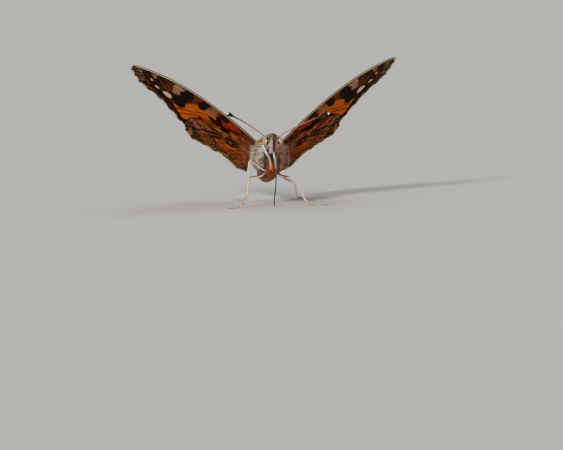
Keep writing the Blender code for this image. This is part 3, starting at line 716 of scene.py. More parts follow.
def build_wing(name, side, net, under, upper, paint, drop):
    """One closed sheet: its upper face, its lower face and a thin rim between them."""
    x, y = net["x"], net["y"]
    columns, rows = x.shape
    thin = smooth_step(net["edge"] * THIRTIETH, 0, 0.35 * MM) * 0.85 + 0.15
    half = MEMBRANE / 2 * thin + VEIN_RISE * np.exp(-(net["vein"] / 0.17) ** 2)
    half += 0.09 * MM * np.exp(-(net["front"] / 0.25) ** 2) * (net["share"] < 0.97)
    sag = 0.05 * MM * np.sin(net["column"] * np.pi) ** 2 * np.sin(net["share"] * np.pi)
    lowered = drop(x * THIRTIETH, y * THIRTIETH, side)
    faces_of_wing = [wing_place(x * THIRTIETH, y * THIRTIETH, face * half - sag, side, lowered)
                     for face in (1, -1)]
    points = np.concatenate([face.reshape(-1, 3) for face in faces_of_wing])
    index = np.arange(columns * rows).reshape(columns, rows)
    a, b, c, d = (index[:-1, :-1], index[1:, :-1], index[1:, 1:], index[:-1, 1:])
    top = np.stack((a, b, c, d), -1).reshape(-1, 4)
    if side < 0:
        top = top[:, ::-1]
    low = top[:, ::-1] + columns * rows
    rim = np.concatenate((index[:, 0], index[-1, 1:], index[-2::-1, -1], index[0, -2:0:-1]))
    after = np.roll(rim, -1)
    band = np.stack((rim, rim + columns * rows, after + columns * rows, after), -1)
    if side < 0:
        band = band[:, ::-1]
    wing = new_piece(name, points, np.concatenate((top, low, band)), paint, (name,))
    facts = {title: np.concatenate((upper[title].ravel(), under[title].ravel()))
             for title in under}
    on_top = np.repeat((1.0, 0.0), columns * rows)
    out_mm = np.tile(x.ravel(), 2) * THIRTIETH / MM
    back_mm = np.tile(y.ravel(), 2) * THIRTIETH / MM
    costa = 0.02 + 0.03 * (net["x"] / 30) - net["front"] - (name.startswith("hind")) * 9
    flow = np.stack((np.tile(net["column"].ravel(), 2), np.tile(net["share"].ravel(), 2),
                     on_top * 50), -1)
    marble = 0.5
    if name.startswith("hind"):
        marble = np.tile(0.8 - 0.5 * smooth_step(y, 7.5, 10.5).ravel(), 2)
    set_facts(wing, **facts, upper=on_top, net=np.stack((out_mm, back_mm, on_top * 50), -1),
              flow=flow, costa=np.concatenate(((costa - 0.12).ravel(), costa.ravel())),
              marble=np.where(on_top > 0.5, 0.12, marble))
    return wing


FOREWING_PAINT = wing_paint("forewing_scales", FOREWING_COLOURS, 0.8)
HINDWING_PAINT = wing_paint("hindwing_scales", HINDWING_COLOURS, 0.7)
forewing_net = wing_net(FOREWING_BASE, FOREWING_VEINS, 20, 220)
hindwing_net = wing_net(HINDWING_BASE, HINDWING_VEINS, 20, 190)
for side, sign in (("left", 1), ("right", -1)):
    build_wing("forewing_" + side, sign, forewing_net, forewing_under(forewing_net),
               forewing_upper(forewing_net), FOREWING_PAINT, level_drop)
    build_wing("hindwing_" + side, sign, hindwing_net, hindwing_under(hindwing_net),
               hindwing_upper(hindwing_net), HINDWING_PAINT, hindwing_drop)

# Body skin: head, thorax and ringed abdomen in one closed surface, which the coat covers. It
# lies inside the solids by the depth of the coat. Sections are forward along the pitched body,
# up, half width and half height in millimetres.
ABDOMEN_RINGS = 7
COMB_STEP = 0.58
FRONT_SECTIONS = (
    (-4.95, -2.25, 1.62, 1.66), (-4.6, -2.22, 1.50, 1.52), (-3.9, -2.3, 2.00, 1.85),
    (-2.6, -2.35, 2.80, 2.35), (-0.8, -2.42, 3.05, 2.58), (1.0, -2.28, 2.72, 2.42),
    (2.1, -1.85, 1.95, 1.95), (2.75, -1.68, 1.20, 1.20), (3.05, -1.55, 0.92, 0.95),
    (3.4, -1.42, 1.14, 1.18), (4.05, -1.3, 1.08, 1.30), (4.75, -1.42, 0.78, 1.26),
    (5.3, -1.66, 0.45, 0.90), (5.55, -1.78, 0.22, 0.46))
EYE_CENTRE = np.array((1.18, 4.2, -1.02))
EYE_RADII = np.array((0.62, 0.88, 0.97))
HEAD_ASIDE = 0.2


def smooth_rows(rows, steps):
    """Rows read from the smooth curve through the given rows."""
    rows = np.asarray(rows, float)
    padded = np.concatenate((rows[:1], rows, rows[-1:]))
    a, b, c, d = (padded[i:len(padded) - 3 + i, None] for i in range(4))
    t = np.arange(steps)[None, :, None] / steps
    curve = 0.5 * (2 * b + (c - a) * t + (2 * a - 5 * b + 4 * c - d) * t ** 2
                   + (3 * b - a - 3 * c + d) * t ** 3)
    return np.concatenate((curve.reshape(-1, rows.shape[1]), rows[-1:]))


def closed_skin(rings):
    """Points and triangles of a skin over rings, closed by a point in the middle of each end."""
    count, around = rings.shape[:2]
    ends = np.stack((rings[0].mean(0), rings[-1].mean(0)))
    points = np.concatenate((rings.reshape(-1, 3), ends))
    index = np.arange(count * around).reshape(count, around)
    after = np.roll(index, -1, axis=1)
    sides = np.concatenate((np.stack((index[:-1], after[:-1], after[1:]), -1).reshape(-1, 3),
                            np.stack((index[:-1], after[1:], index[1:]), -1).reshape(-1, 3)))
    first = np.stack((after[0], index[0], np.full(around, count * around)), -1)
    last = np.stack((index[-1], after[-1], np.full(around, count * around + 1)), -1)
    triangles = np.concatenate((sides, first, last))
    corner = points[triangles] - points[0]
    volume = np.sum(corner[:, 0] * np.cross(corner[:, 1], corner[:, 2]))
    return points, triangles[:, ::-1] if volume < 0 else triangles


def unit(vectors):
    return vectors / np.maximum(np.linalg.norm(vectors, axis=-1, keepdims=True), 1e-12)


def skin_normals(points, triangles):
    corner = points[triangles]
    flat = np.cross(corner[:, 1] - corner[:, 0], corner[:, 2] - corner[:, 0])
    normals = np.zeros_like(points)
    for i in range(3):
        np.add.at(normals, triangles[:, i], flat)
    return unit(normals)


def body_axes(points):
    """Side, forward and up of world places along the pitched body, in millimetres."""
    cosine, sine = math.cos(BODY_PITCH), math.sin(BODY_PITCH)
    side, back, up = np.moveaxis((points - WING_ROOTS) / MM, -1, 0)
    return side, up * sine - back * cosine, up * cosine + back * sine


def body_rings(around):
    along = np.linspace(1, 0, 190)
    radius = 2.02 * np.sin(np.pi * (0.36 + 0.55 * along)) ** 0.8 - 0.14
    radius += 0.07 * (along * ABDOMEN_RINGS % 1) ** 2
    rows = np.stack((-4.95 - 8.85 * along, -2.25 + 1.1 * along, radius, radius * 1.02), -1)
    tail = [(-14.05, -1.13, 0.28, 0.28), (-13.95, -1.14, 0.45, 0.45)]
    rows = np.concatenate((tail, rows[:-8], smooth_rows(FRONT_SECTIONS, 14)))
    angle = np.linspace(0, math.tau, around, endpoint=False)
    forward, up, half_width, half_height = (rows[:, i, None] for i in range(4))
    side = half_width * np.cos(angle) + HEAD_ASIDE * smooth_step(forward, 2.9, 4.0)
    height = up + half_height * np.sin(angle)
    return body_place(side * MM, forward * MM + 0 * side, height * MM)


def eye_depth(side, forward, up):
    """How far from the middle of the nearer eye, in its radii."""
    place = np.stack((np.abs(side - HEAD_ASIDE), forward, up), -1)
    return np.linalg.norm((place - EYE_CENTRE) / EYE_RADII, axis=-1)


def tinted(below, above, share):
    return below + (np.array(above[:3]) - below) * np.asarray(share)[..., None]


def flank_share(points, normals):
    """How much of the front of the flanks each place belongs to, and how far from the middle."""
    side, forward, _ = body_axes(points)
    away = np.abs(side)
    return (smooth_step(-normals[:, 1], 0.1, 0.4) * (1 - smooth_step(normals[:, 2], 0.35, 0.7))
            * smooth_step(away, 0.85, 1.15) * smooth_step(-forward, -2.7, -1.9)), away


def comb_gap_shade(points, normals):
    """Painted shade in the gaps between the strands of hair that run inward and down over the flanks.
    """
    side, forward, up = body_axes(points)
    flank, away = flank_share(points, normals)
    height = forward * math.sin(BODY_PITCH) + up * math.cos(BODY_PITCH)
    wave = np.sin((0.3 * away + 0.5 * np.log(away + 0.2) - height) * math.tau / COMB_STEP
                  + 0.4 * np.sin(1.7 * away + 0.9 * height))
    strength = 1 - 0.65 * smooth_step(away, 2.1, 2.8)
    strength = np.where(side > 0, 0.2 + 0.7 * smooth_step(away, 1.8, 2.4), strength)
    return flank * strength * smooth_step(wave, -0.15, 0.1)


def body_tint(points, normals):
    """The colour of skin and coat at each place: brown above, grey-buff flanks and brown below, with
    painted orange reflected light below and painted shade on the left flank, throat, face and round
    the eyes.
    """
    side, forward, up = body_axes(points)
    rise = normals[:, 1] * -math.sin(BODY_PITCH) * -1 + normals[:, 2] * math.cos(BODY_PITCH)
    spread = 0.12 * np.sin(side * 5.1 + forward * 3.3) + 0.08 * np.sin(up * 9.0 + side * 4.0)
    tint = np.tile(colour(246, 220, 196)[:3], (len(points), 1))
    # Painted shade: the left side is tinted pinkish brown, as if turned away from the light.
    tint = tinted(tint, colour(206, 138, 112), smooth_step(side, 0.2, 1.4) * 0.8)
    tint = tinted(tint, colour(150, 112, 70), smooth_step(rise + spread, 0.25, 0.6))
    tint = tinted(tint, colour(162, 118, 68), smooth_step(forward, 1.2, 2.0)
                  * smooth_step(rise, 0.1, 0.5))
    below = np.abs(side) > 0.8
    # Below: brown hair under painted orange reflected light, strongest along the middle.
    tint = tinted(tint, colour(206, 92, 28),
                  smooth_step(-rise + spread - 0.22 * below, 0.5, 0.8))
    middle = 1 - smooth_step(np.abs(side), 0.3, 0.9)
    tint = tinted(tint, colour(216, 98, 24), middle * smooth_step(-up, 2.9, 3.7))
    # Painted shade between the combed strands on the flanks.
    tint = tint * (1 - 0.9 * comb_gap_shade(points, normals))[:, None]
    # Painted shade at the throat, between the forelegs and the palps, darkest in two bands beside the
    # middle.
    throat_shade = smooth_step(forward, 0.6, 1.2) * smooth_step(-up, 1.4, 2.0)
    tint = tinted(tint, colour(92, 46, 26), throat_shade * middle * smooth_step(up, -4.2, -3.2) * 0.8)
    tint = tinted(tint, colour(36, 22, 17),
                  throat_shade * (1 - smooth_step(np.abs(np.abs(side) - 0.72), 0.12, 0.28)) * 0.9)
    behind = smooth_step(-forward, 4.3, 5.0)
    ring = (-(forward + 4.95) / 8.85 * ABDOMEN_RINGS) % 1
    # The abdomen is brown with dark rings; the orange on its underside is painted reflected light.
    belly = tinted(np.tile(colour(122, 78, 46)[:3], (len(points), 1)), colour(192, 92, 36),
                   smooth_step(-rise, -0.1, 0.5))
    belly = tinted(belly, colour(66, 40, 26), smooth_step(ring, 0.72, 0.98) * 0.8)
    tint = tinted(tint, (0, 0, 0), 0) * (1 - behind[:, None]) + belly * behind[:, None]
    on_head = smooth_step(forward, 3.0, 3.4)
    tint = tinted(tint, colour(150, 120, 84), on_head)
    side = side - HEAD_ASIDE * on_head
    brow = on_head * smooth_step(up, -1.2, -0.6)
    tint = tinted(tint, colour(92, 66, 46), brow * (np.sin(side * 9.0) > 0.2) * 0.7)
    # Painted shade in the gap between the palps, low in the middle of the face.
    face = smooth_step(forward, 4.5, 5.0) * (1 - smooth_step(up, -1.4, -0.9))
    tint = tinted(tint, colour(40, 26, 22), face * (1 - smooth_step(np.abs(side), 0.15, 0.5)))
    rim = eye_depth(side + HEAD_ASIDE * on_head, forward, up)
    tint = tinted(tint, colour(255, 250, 240), on_head * (1 - smooth_step(rim, 1.30, 1.42)))
    # A thin dark ring where the eye meets the head: painted shade in that crease.
    return tinted(tint, colour(36, 25, 20), on_head * (1 - smooth_step(rim, 1.02, 1.09)))


def coat_paint(name, roughness, root_shade, sheen):
    """Tufts and skin in the colour held at their points, darker at the root, uneven between."""
    paint = bpy.data.materials.new(name)
    paint.use_nodes = True
    tree = paint.node_tree
    shader = tree.nodes["Principled BSDF"]
    tint = add_node(tree, "Attribute", attribute_name="tint")
    tip = add_node(tree, "Attribute", attribute_name="tip")
    tone = add_node(tree, "Attribute", attribute_name="tone")
    place = add_node(tree, "TexCoord")
    grain = add_node(tree, "TexNoise", {"Vector": place.outputs["Object"], "Scale": 5200.0,
                                        "Detail": 2.0})
    depth = add_node(tree, "MapRange", {"Value": tip.outputs["Fac"], "From Max": 0.9,
                                        "To Min": root_shade, "To Max": 1.18})
    uneven = add_node(tree, "MapRange", {"Value": tone.outputs["Fac"], "To Min": 0.55,
                                         "To Max": 1.34})
    speckle = add_node(tree, "MapRange", {"Value": grain.outputs["Fac"], "From Min": 0.3,
                                          "From Max": 0.7, "To Min": 0.86, "To Max": 1.12})
    shade = add_node(tree, "Math", {0: depth.outputs[0], 1: uneven.outputs[0]},
                     operation="MULTIPLY")
    shade = add_node(tree, "Math", {0: shade.outputs[0], 1: speckle.outputs[0]},
                     operation="MULTIPLY")
    mixed = add_node(tree, "Mix", {0: 1.0, 6: tint.outputs["Color"], 7: shade.outputs[0]},
                     data_type="RGBA", blend_type="MULTIPLY")
    tree.links.new(mixed.outputs[2], shader.inputs["Base Color"])
    shader.inputs["Roughness"].default_value = roughness
    shader.inputs["Specular IOR Level"].default_value = 0.35
    shader.inputs["Sheen Weight"].default_value = sheen
    shader.inputs["Sheen Roughness"].default_value = 0.4
    return paint


HAIR_PAINT = coat_paint("body_hair", 0.6, 0.24, 0.08)
body_points, body_triangles = closed_skin(body_rings(96))
body_normals = skin_normals(body_points, body_triangles)
body_skin = new_piece("body_skin", body_points, body_triangles, HAIR_PAINT,
                      ("head", "thorax", "abdomen"))
set_facts(body_skin, tint=body_tint(body_points, body_normals), tip=np.full(len(body_points), 0.1),
          tone=np.full(len(body_points), 0.5))


# Body coat: long pale hair that sweeps back over the thorax in clumps, short hair on the head
# and flat scales on the abdomen. Each tuft is a closed three-sided blade of 16 triangles.
TUFT_STEPS = np.array((0.0, 0.35, 0.7, 1.0))
TUFT_WIDTHS = np.array((0.8, 1.0, 0.66))


def sow(points, triangles, weight, count):
    """Roots spread over a skin, denser where its weight is larger: a reader of values there."""
    corner = points[triangles]
    size = np.linalg.norm(np.cross(corner[:, 1] - corner[:, 0], corner[:, 2] - corner[:, 0]),
                          axis=1) * weight[triangles].mean(axis=1)
    order = rng.permutation(len(triangles))
    total = np.cumsum(size[order])
    spots = (np.arange(count) + rng.random(count)) / count * total[-1]
    where = order[np.minimum(np.searchsorted(total, spots), len(order) - 1)]
    one, two = rng.random((2, count))
    one, two = np.where(one + two > 1, (1 - one, 1 - two), (one, two))
    shares = np.stack((1 - one - two, one, two), -1)
    return lambda values: np.einsum("ij,ij...->i...", shares, np.asarray(values)[triangles[where]])


def lock_middles(roots, lie, per_lock):
    """For each tuft the one in the middle of its lock; locks are longer along the lie."""
    roots = roots - roots.mean(axis=0)
    roots = roots - lie * np.sum(roots * lie, -1, keepdims=True) * 0.75
    middles = rng.choice(len(roots), max(1, len(roots) // per_lock), replace=False)
    away = (np.sum(roots ** 2, -1)[:, None] + np.sum(roots[middles] ** 2, -1)
            - 2 * roots @ roots[middles].T)
    return middles[np.argmin(away, axis=1)]


def grow_tufts(name, paint, roots, normals, lie, length, width, lift, unwrap, tint,
               gather=0.0, per_clump=14, settle=0.45, flat=0.42, stray=0.14):
    """Closed tufts that rise from their roots by an angle and then lie down over the skin."""
    count = len(roots)
    lie = unit(lie - normals * np.sum(lie * normals, -1, keepdims=True))
    lie = unit(lie + stray * rng.normal(size=(count, 3)))
    lift = (np.broadcast_to(lift, count) * (1 + 0.25 * rng.normal(size=count)))[:, None]
    length = (np.broadcast_to(length, count) * (1 + 0.14 * rng.normal(size=count)))[:, None]
    width = (np.broadcast_to(width, count) * (1 + 0.15 * rng.normal(size=count)))[:, None]
    start = lie * np.cos(lift) + normals * np.sin(lift)
    end = unit(lie - normals * settle)
    across = unit(np.cross(normals, lie))
    pull, tone = 0, rng.random(count)
    if gather:
        middle = lock_middles(roots, lie, per_clump)
        tips = roots + length * (start + end) / 2
        pull = (tips[middle] - tips) * gather
        pull -= lie * np.sum(pull * lie, -1, keepdims=True) * 0.8
        tone = 0.4 * tone + 0.6 * tone[middle]
    rings = []
    for step, share in zip(TUFT_STEPS, (*TUFT_WIDTHS, 0)):
        spine = (roots - normals * 0.05 * MM + length * (start * step + (end - start) * step ** 2 / 2)
                 + pull * step ** 2)
        if share:
            outward = normals * width * share * flat
            rings += [spine - across * width * share / 2, spine + outward,
                      spine + across * width * share / 2]
        else:
            rings.append(spine)
    corners = len(rings)
    points = np.stack(rings, 1).reshape(-1, 3)
    faces = [(0, 1, 2)]
    for ring in (0, 3):
        for k in range(3):
            near, far = ring + k, ring + (k + 1) % 3
            faces += [(near, near + 3, far), (far, near + 3, far + 3)]
    faces += [(6 + k, 9, 6 + (k + 1) % 3) for k in range(3)]
    faces = (np.array(faces)[None] + corners * np.arange(count)[:, None, None]).reshape(-1, 3)
    piece = new_piece(name, points, faces, paint)
    reach = np.repeat(np.append(TUFT_STEPS[:3].repeat(3), 1.0)[None], count, 0)
    set_facts(piece, tip=reach.ravel(), tone=np.repeat(tone, corners),
              tint=np.repeat(tint, corners, axis=0))
    patch = np.stack((np.append(np.tile((0.0, 0.5, 1.0), 3), 0.5), reach[0]), -1) * 0.003
    place = (np.clip(np.stack(unwrap, -1), 0.002, 0.994)[:, None] + patch).reshape(-1, 2)
    layer = piece.data.uv_layers.new(name="OFBake")
    layer.uv.foreach_set("vector", place[faces.ravel()].astype(np.float32).ravel())
    return piece


def body_unwrap(points):
    side, forward, up = body_axes(points)
    return np.arctan2(side, up + 2.0) / math.tau + 0.5, (forward + 14.2) / 20


BODY_BACK = -np.array((0, -math.cos(BODY_PITCH), math.sin(BODY_PITCH)))
body_side, body_forward, body_up = body_axes(body_points)
off_eye = smooth_step(eye_depth(body_side, body_forward, body_up), 1.0, 1.06)
WORLD_DOWN = np.array((0, 0, -1.0))

on_thorax = (body_forward > -4.9) & (body_forward < 3.1)
on_flank = flank_share(body_points, body_normals)[0] * on_thorax
read = sow(body_points, body_triangles, on_thorax * (1 + 0.8 * (body_forward > -1))
           * (1 - on_flank), 8000)
roots, normals = read(body_points), unit(read(body_normals))
side, forward, _ = body_axes(roots)
under = smooth_step(-normals[:, 2], 0.1, 0.8)
lie = BODY_BACK + WORLD_DOWN * (0.12 + 0.4 * under)[:, None]
lie[:, 0] += 0.35 * np.sign(side)
long_hair = 2.1 - 0.95 * under - 0.7 * smooth_step(forward, 1.6, 3.0)
grow_tufts("thorax_hair", HAIR_PAINT, roots, normals, lie, long_hair * MM, 0.11 * MM,
           0.55, body_unwrap(roots), body_tint(roots, normals), gather=0.4, per_clump=20,
           stray=0.05)

combs = comb_gap_shade(body_points, body_normals)
read = sow(body_points, body_triangles, on_flank * (1 - 0.97 * combs), 5200)
roots, normals = read(body_points), unit(read(body_normals))
side, forward, _ = body_axes(roots)
away = np.abs(side)
inward = np.stack((-np.sign(side), 0 * side, -(0.3 + 0.5 / (away + 0.2))), -1)
inward[:, 1] = np.sum(inward * normals, -1) / np.maximum(-normals[:, 1], 0.3)
grow_tufts("flank_hair", HAIR_PAINT, roots, normals, inward,
           np.clip(0.3 + 0.55 * (away - 0.95), 0.3, 0.85) * MM, 0.07 * MM,
           0.08 + 0.25 * smooth_step(away, 2.0, 2.6), body_unwrap(roots),
           body_tint(roots, normals), settle=0.25, stray=0.0)

on_collar = (body_forward > 1.1) & (body_forward < 3.1) & (body_up > -1.4)
read = sow(body_points, body_triangles, 1.0 * on_collar, 2600)
roots, normals = read(body_points), unit(read(body_normals))
side, forward, up = body_axes(roots)
collar_length = 1.4 + 0.4 * smooth_step(up, -1.5, 0) - 0.6 * smooth_step(side, 0.9, 1.6)
grow_tufts("collar_hair", HAIR_PAINT, roots, normals, BODY_BACK + 0 * roots,
           collar_length * MM, 0.08 * MM, 1.2, body_unwrap(roots),
           tinted(body_tint(roots, normals), colour(182, 140, 84),
                  0.85 * smooth_step(up, -1.3, -0.7)), gather=0.75, per_clump=18, settle=0.05)

on_head = smooth_step(body_forward, 2.9, 3.2) * off_eye
read = sow(body_points, body_triangles, on_head, 5200)
roots, normals = read(body_points), unit(read(body_normals))
side, forward, up = body_axes(roots)
in_face = smooth_step(forward, 4.4, 5.0)[:, None] * (1 - smooth_step(up, -1.2, -0.6))[:, None]
lie = BODY_BACK * (1 - in_face) + WORLD_DOWN * (0.3 + in_face) * in_face
short_hair = 0.85 - 0.50 * in_face[:, 0] - 0.40 * (1 - smooth_step(eye_depth(side, forward, up),
                                                                    1.2, 1.5))
grow_tufts("head_hair", HAIR_PAINT, roots, normals, lie, short_hair * MM, 0.065 * MM,
           1.15 - 0.5 * in_face[:, 0], body_unwrap(roots), body_tint(roots, normals), gather=0.6,
           per_clump=14, settle=0.1)

on_abdomen = 1.0 * (body_forward < -4.7)
read = sow(body_points, body_triangles, on_abdomen, 8500)
roots, normals = read(body_points), unit(read(body_normals))
lie = BODY_BACK + 0 * roots
grow_tufts("abdomen_scales", HAIR_PAINT, roots, normals, lie, 0.42 * MM, 0.17 * MM,
           0.22, body_unwrap(roots), body_tint(roots, normals), settle=0.15, flat=0.2)


# Eyes: large ovals of tiny facets, buff and mottled, with a dark spot where they face forward.
def eye_paint():
    paint = bpy.data.materials.new("eye_facets")
    paint.use_nodes = True
    tree = paint.node_tree
    shader = tree.nodes["Principled BSDF"]
    place = add_node(tree, "Attribute", attribute_name="place").outputs["Vector"]
    pupil = add_node(tree, "Attribute", attribute_name="pupil").outputs["Fac"]
    mottle = add_node(tree, "TexNoise", {"Vector": place, "Scale": 3.4, "Detail": 2.0})
    patches = add_node(tree, "MapRange", {"Value": mottle.outputs["Fac"], "From Min": 0.50,
                                          "From Max": 0.58})
    ground = add_node(tree, "Mix", {0: patches.outputs[0], 6: colour(214, 194, 148),
                                    7: colour(120, 88, 54)}, data_type="RGBA")
    seen = add_node(tree, "MapRange", {"Value": pupil, "From Min": -0.05, "From Max": 0.08})
    skin = add_node(tree, "Mix", {0: seen.outputs[0], 6: ground.outputs[2],
                                  7: colour(14, 10, 10)}, data_type="RGBA")
    tree.links.new(skin.outputs[2], shader.inputs["Base Color"])
    facets = add_node(tree, "TexVoronoi", {"Vector": place, "Scale": 22.0, "Randomness": 0.1})
    relief = add_node(tree, "Bump", {"Strength": 0.5, "Distance": 0.01 * MM,
                                     "Height": facets.outputs["Distance"]}, invert=True)
    tree.links.new(relief.outputs[0], shader.inputs["Normal"])
    shader.inputs["Roughness"].default_value = 0.28
    shader.inputs["Coat Weight"].default_value = 0.4
    shader.inputs["Coat Roughness"].default_value = 0.12
    return paint


EYE_PAINT = eye_paint()
PUPIL = (-0.29, 0.67, -0.67)
turn = np.linspace(0, math.tau, 64, endpoint=False)
tilt = np.linspace(0.03, math.pi - 0.03, 48)[:, None]
ball = np.stack((np.sin(tilt) * np.cos(turn), np.sin(tilt) * np.sin(turn),
                 np.cos(tilt) + 0 * turn), -1)
for side, sign in (("left", 1), ("right", -1)):
    spots = (ball * EYE_RADII + EYE_CENTRE) * (sign, 1, 1) + (HEAD_ASIDE, 0, 0)
    eye_points, eye_triangles = closed_skin(
        body_place(*(np.moveaxis(spots, -1, 0) * MM)))
    eye = new_piece("eye_" + side, eye_points, eye_triangles, EYE_PAINT, ("eye_" + side,))
    facing = np.concatenate((ball.reshape(-1, 3), ((0, 0, 1), (0, 0, -1))))
    dark = np.maximum.reduce([
        size - np.linalg.norm(facing - unit(np.array(centre)), axis=-1)
        for size, centre in ((0.34, PUPIL), (0.36, (-0.32, 0.93, 0.19)), (0.14, (0.32, 0.34, -0.89)),
                             (0.12, (-0.2, 0.07, -0.98)), (0.10, (0.5, 0.75, -0.3)))])
    set_facts(eye, place=facing * EYE_RADII, pupil=dark)


# Palps, proboscis, feelers and legs: round limbs along smooth curves through points given as
# side, back, up and radius in millimetres from the wing roots.
def limb_rings(rows, steps, around, relief=None):
    """Rings of points square to the limb's own curve, and how far along it each ring lies."""
    path = smooth_rows(rows, steps)
    spine, radius = path[:, :3], path[:, 3:4]
    along = unit(np.gradient(spine, axis=0))
    reach = np.append(0, np.cumsum(np.linalg.norm(np.diff(spine, axis=0), axis=1)))
    aside = np.empty_like(along)
    ready = unit(np.cross(along[0], (0.31, 0.2, 0.93)))
    for i, ahead in enumerate(along):
        ready = unit(ready - ahead * np.dot(ready, ahead))
        aside[i] = ready
    beside = np.cross(along, aside)
    angle = np.linspace(0, math.tau, around, endpoint=False)[None, :, None]
    width = radius[:, :, None] + (0 if relief is None else relief(reach, angle[..., 0])[..., None])
    ring = (np.cos(angle) * aside[:, None] + np.sin(angle) * beside[:, None]) * width
    return WING_ROOTS + (spine[:, None] + ring) * MM, reach / reach[-1], along


def limb_facts(values, around):
    """One value a ring, spread to every point of a closed skin."""
    values = np.asarray(values)
    return np.concatenate((np.repeat(values, around, axis=0), values[:1], values[-1:]))


def mirrored(rows, sign):
    return [(sign * row[0], *row[1:]) for row in rows]


PALP = ((0.38, -4.75, -1.0, 0.22), (0.41, -5.6, -0.75, 0.32), (0.41, -6.5, 0.35, 0.31),
        (0.38, -7.05, 1.2, 0.22), (0.34, -7.3, 1.75, 0.08))
# Palp colour: pale buff on the right palp, pinkish brown on the left as painted shade.
PALP_LIT_AND_SHADED = {1: colour(184, 112, 94), -1: colour(226, 194, 188)}
PALP_PAINT = coat_paint("palp_hair", 0.6, 0.72, 0.2)
for side, sign in (("left", 1), ("right", -1)):
    palp_rows = [(row[0] + HEAD_ASIDE, *row[1:]) for row in mirrored(PALP, sign)]
    rings, share, along = limb_rings(palp_rows, 16, 28)
    palp_points, palp_triangles = closed_skin(rings)
    normals = skin_normals(palp_points, palp_triangles)
    ahead = limb_facts(along, 28)
    outer = normals[:, 0] * sign

    def palp_tint(outer, share, facing):
        tint = np.tile(PALP_LIT_AND_SHADED[sign][:3], (len(outer), 1))
        # A white outer side, a real mark made stronger on the right palp as painted light, and painted
        # shade on the inner sides that face each other.
        tint = tinted(tint, colour(255, 246, 240), smooth_step(outer, 0.66, 0.86) * (0.7 - 0.3 * sign))
        tint = tinted(tint, colour(28, 18, 16), smooth_step(-outer, 0.6, 0.9))
        return tinted(tint, colour(96, 62, 46), smooth_step(share, 0.72, 1.0) * 0.6)

    shares = limb_facts(share, 28)
    palp = new_piece("palp_" + side, palp_points, palp_triangles, PALP_PAINT,
                     ("palp_" + side,))
    set_facts(palp, tint=palp_tint(outer, shares, normals), tip=np.full(len(outer), 0.2),
              tone=np.full(len(outer), 0.5))
    read = sow(palp_points, palp_triangles, np.ones(len(palp_points)), 1500)
    roots, root_normals = read(palp_points), unit(read(normals))
    grow_tufts("palp_hair_" + side, PALP_PAINT, roots, root_normals, read(ahead),
               0.34 * MM, 0.055 * MM, 0.45,
               (read(shares), np.arctan2(root_normals[:, 0], root_normals[:, 2]) / 7 + 0.5),
               palp_tint(read(outer), read(shares), root_normals), gather=0.3, settle=0.1)

PROBOSCIS = ((0.10, -4.9, -0.55, 0.10), (0.16, -5.35, -0.9, 0.15), (0.32, -5.6, -1.9, 0.15),
             (0.46, -5.72, -3.1, 0.145), (0.52, -5.8, -4.3, 0.14), (0.40, -5.75, -7.0, 0.13),
             (0.12, -5.7, -9.2, 0.12), (0.0, -5.7, -10.85, 0.10))


def tube_paint(name, stops, roughness, rings_per_limb, coat):
    """A limb whose colour changes along it, with fine rings pressed into it."""
    paint = bpy.data.materials.new(name)
    paint.use_nodes = True
    tree = paint.node_tree
    shader = tree.nodes["Principled BSDF"]
    along = add_node(tree, "Attribute", attribute_name="along").outputs["Fac"]
    place = add_node(tree, "TexCoord").outputs["Object"]
    grain = add_node(tree, "TexNoise", {"Vector": place, "Scale": 3000.0, "Detail": 3.0})
    shift = add_node(tree, "MapRange", {"Value": grain.outputs["Fac"], "To Min": -0.005,
                                        "To Max": 0.005})
    at = add_node(tree, "Math", {0: along, 1: shift.outputs[0]}, operation="ADD")
    ramp = add_node(tree, "ValToRGB", {0: at.outputs[0]})
    while len(ramp.color_ramp.elements) < len(stops):
        ramp.color_ramp.elements.new(1.0)
    for stop, (position, tint) in zip(ramp.color_ramp.elements, stops):
        stop.position, stop.color = position, tint
    shade = add_node(tree, "MapRange", {"Value": grain.outputs["Fac"], "From Min": 0.3,
                                        "From Max": 0.7, "To Min": 0.8, "To Max": 1.15})
    skin = add_node(tree, "Mix", {0: 1.0, 6: ramp.outputs["Color"], 7: shade.outputs[0]},
                    data_type="RGBA", blend_type="MULTIPLY")
    tree.links.new(skin.outputs[2], shader.inputs["Base Color"])
    turns = add_node(tree, "Math", {0: along, 1: rings_per_limb * math.tau}, operation="MULTIPLY")
    wave = add_node(tree, "Math", {0: turns.outputs[0]}, operation="SINE")
    relief = add_node(tree, "Bump", {"Strength": 0.5, "Distance": 0.02 * MM,
                                     "Height": wave.outputs[0]})
    tree.links.new(relief.outputs[0], shader.inputs["Normal"])
    shader.inputs["Roughness"].default_value = roughness
    shader.inputs["Coat Weight"].default_value = coat
    return paint


rings, share, _ = limb_rings(PROBOSCIS, 14, 24,
                             lambda reach, angle: -0.03 * np.exp(-(np.sin(angle) - 1) ** 2 / 0.02))
points, triangles = closed_skin(rings)
# The proboscis is dark; its pale and bluish part near the head is a painted highlight.
proboscis = new_piece(
    "proboscis", points, triangles,
    tube_paint("proboscis_skin_with_highlight", ((0.0, colour(238, 234, 230)), (0.16, colour(228, 226, 226)),
                                  (0.24, colour(150, 154, 172)), (0.33, colour(104, 110, 132)),
                                  (0.38, colour(30, 26, 30)), (1.0, colour(24, 17, 15))),
               0.32, 70, 0.3),
    ("proboscis",))
set_facts(proboscis, along=limb_facts(share, 24))

